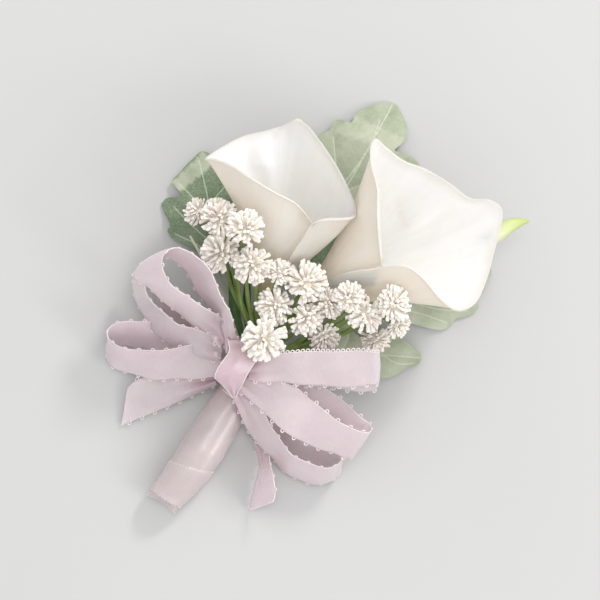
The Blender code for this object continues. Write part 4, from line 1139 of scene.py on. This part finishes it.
# Each tail, then the band across the middle: both edges' x, y and height at each place
TAILS = {
    "bow_tail_left": [
        (-5.4, -1.6, 9, -6.2, -4.2, 8.4), (-9, -1, 6.6, -9.8, -5.8, 5.4), (-15, -0.8, 4.4, -14.6, -8, 2.6),
        (-22, -1, 3.2, -20.8, -10.7, 1.6), (-28, -2.2, 2.6, -27.2, -13.4, 1.2), (-31.4, -3.8, 2.2, -31.6, -15.2, 1.2),
        (-33.2, -5.6, 1.8, -35, -16.7, 1),
    ],
    "bow_tail_right": [
        (9, -12.4, 6, 4, -12, 5), (9.2, -16.6, 2.6, 4.4, -16.2, 1.6), (9, -21, 3.4, 4.6, -20.4, 1),
        (9.2, -24.4, 5.4, 5.4, -24, 1), (9.7, -27.4, 7.8, 6.2, -27.6, 0.9), (10.6, -31.6, 10.2, 6.1, -31.5, 0.8),
        (10.9, -35.6, 10.8, 5.1, -35.4, 0.8), (10.7, -38.4, 10.6, 4.2, -39, 0.8),
        (10.2, -39.6, 10.4, 3.3, -42.4, 0.9),
    ],
}
KNOT = [
    (6.6, 8.2, 14, -3.4, 8.8, 14), (6.6, 8.6, 19, -3.4, 9.2, 19), (6.2, 6.6, 24.6, -2.8, 7.9, 24.6),
    (6, 4.1, 27, -2.6, 5.6, 27), (4.5, 1.5, 28.2, -4.7, 2.4, 28), (2.9, -1, 28.3, -6.5, -0.7, 27.8),
    (2, -2.6, 27.8, -6.8, -2.3, 27.2), (1.2, -4.4, 26.8, -4.7, -4.5, 26), (0.2, -6.2, 25, -2.9, -6.5, 24.4),
    (-0.6, -7.8, 22.8, -1.6, -8.2, 22.4), (0.2, -6.6, 19.8, -3.2, -7, 19.4), (0.6, -5.6, 16.4, -4, -6.2, 16.2),
    (0.8, -5.2, 13, -4.4, -6, 13),
]
RIBBON_ROWS, SHORT_ROWS, RIBBON_COLUMNS = 130, 65, 12
# How far a ribbon waves along its run, how often in a tail or the band, and how far each crowns
RIBBON_WAVE, SHORT_WAVES, TAIL_BULGE, KNOT_BULGE = 0.28, 1.5, 0.15, 0.4
# The band is drawn in without the folds of its ribbon. The width stated for it is about its drawn
# width, not the RIBBON_WIDTH that it would be cut to.
KNOT_WIDTH, KNOT_GATHER, KNOT_CORD = 10.0, 0.08, 0.2


def as_seen(x, y, z):
    """Where a point at height z lies, for it to be seen at x, y from the view."""
    scale = (VIEW_DISTANCE / MM + VIEW_MIDDLE[2] - z) / (VIEW_DISTANCE / MM)
    return Vector((VIEW_MIDDLE[0] + (x - VIEW_MIDDLE[0]) * scale, VIEW_MIDDLE[1] + (y - VIEW_MIDDLE[1]) * scale, z))


def strip_rows(places, steps, bulge=0.25, cut=RIBBON_WIDTH, gather=0.2, waves=6):
    """A strip of ribbon between its two edges, pleated where it is gathered."""
    edges = []
    for x1, y1, z1, x2, y2, z2 in places:
        edges.append((*as_seen(x1, y1, z1), *as_seen(x2, y2, z2)))
    rows = []
    places = smooth_points(edges, steps)
    for k, place in enumerate(places):
        upper, lower = Vector(place[:3]), Vector(place[3:])
        before, after = places[max(k - 1, 0)], places[min(k + 1, steps - 1)]
        ahead = Vector(after[:3]) + Vector(after[3:]) - Vector(before[:3]) - Vector(before[3:])
        over = ahead.cross(upper - lower).normalized()
        width = (upper - lower).length
        pleat = min(1.5, gather * max(cut - width, 0))
        row = []
        for c in range(RIBBON_COLUMNS + 1):
            w = c / RIBBON_COLUMNS
            lift = bulge * 4 * w * (1 - w) + pleat * (math.cos(w * math.tau * 2) - 1) / 2
            lift += RIBBON_WAVE * math.sin(math.tau * (k / (steps - 1) * waves + w * 0.3)) * min(width / cut, 1)
            row.append(lower.lerp(upper, w) + over * lift)
        rows.append(row)
    return rows


def loop_places(places):
    """Both edges' places of a loop, each with the heights that its width leaves it."""
    out = []
    for x1, y1, x2, y2, middle, width in places:
        rise = math.sqrt(max(width ** 2 - (x1 - x2) ** 2 - (y1 - y2) ** 2, 0)) / 2
        out.append((x1, y1, middle + rise, x2, y2, middle - rise))
    return out


def edges_of(rows):
    """Both edges of a ribbon, each place with the way outwards from the ribbon."""
    return [[(row[0], (row[0] - row[1]).normalized()) for row in rows],
            [(row[-1], (row[-1] - row[-2]).normalized()) for row in rows]]


def ribbon(name, rows, spacings=(PICOT_SPACING, PICOT_SPACING),
           cord=EDGE_CORD, shade_depth=None):
    """One piece of the bow, and its corded edges with their picots."""
    cloth = laid_grid(name + "_satin", rows)
    woven(cloth, rows, shade_depth)
    thickened(cloth, RIBBON_THICK)
    fitted(cloth, ribbon_lavender, "ribbon_lavender", name)
    trim = edging(name + "_picots", edges_of(rows), spacings, cord)
    fitted(trim, picot_pink, "ribbon_lavender")


for name, places in LOOPS.items():
    upper_spacing = CLOSE_SPACING if name == "bow_loop_right_upper" else PICOT_SPACING
    ribbon(name, strip_rows(loop_places(places), RIBBON_ROWS),
           spacings=(PICOT_SPACING, upper_spacing))
for name, places in TAILS.items():
    ribbon(name, strip_rows(places, SHORT_ROWS, TAIL_BULGE, waves=SHORT_WAVES))
rows = strip_rows(KNOT, SHORT_ROWS, KNOT_BULGE, KNOT_WIDTH, KNOT_GATHER, SHORT_WAVES)
# The band is darkened all over with painted shade, to tone down its sheen.
ribbon("bow_knot", rows, (0, 0), KNOT_CORD, [1.0] * len(rows))
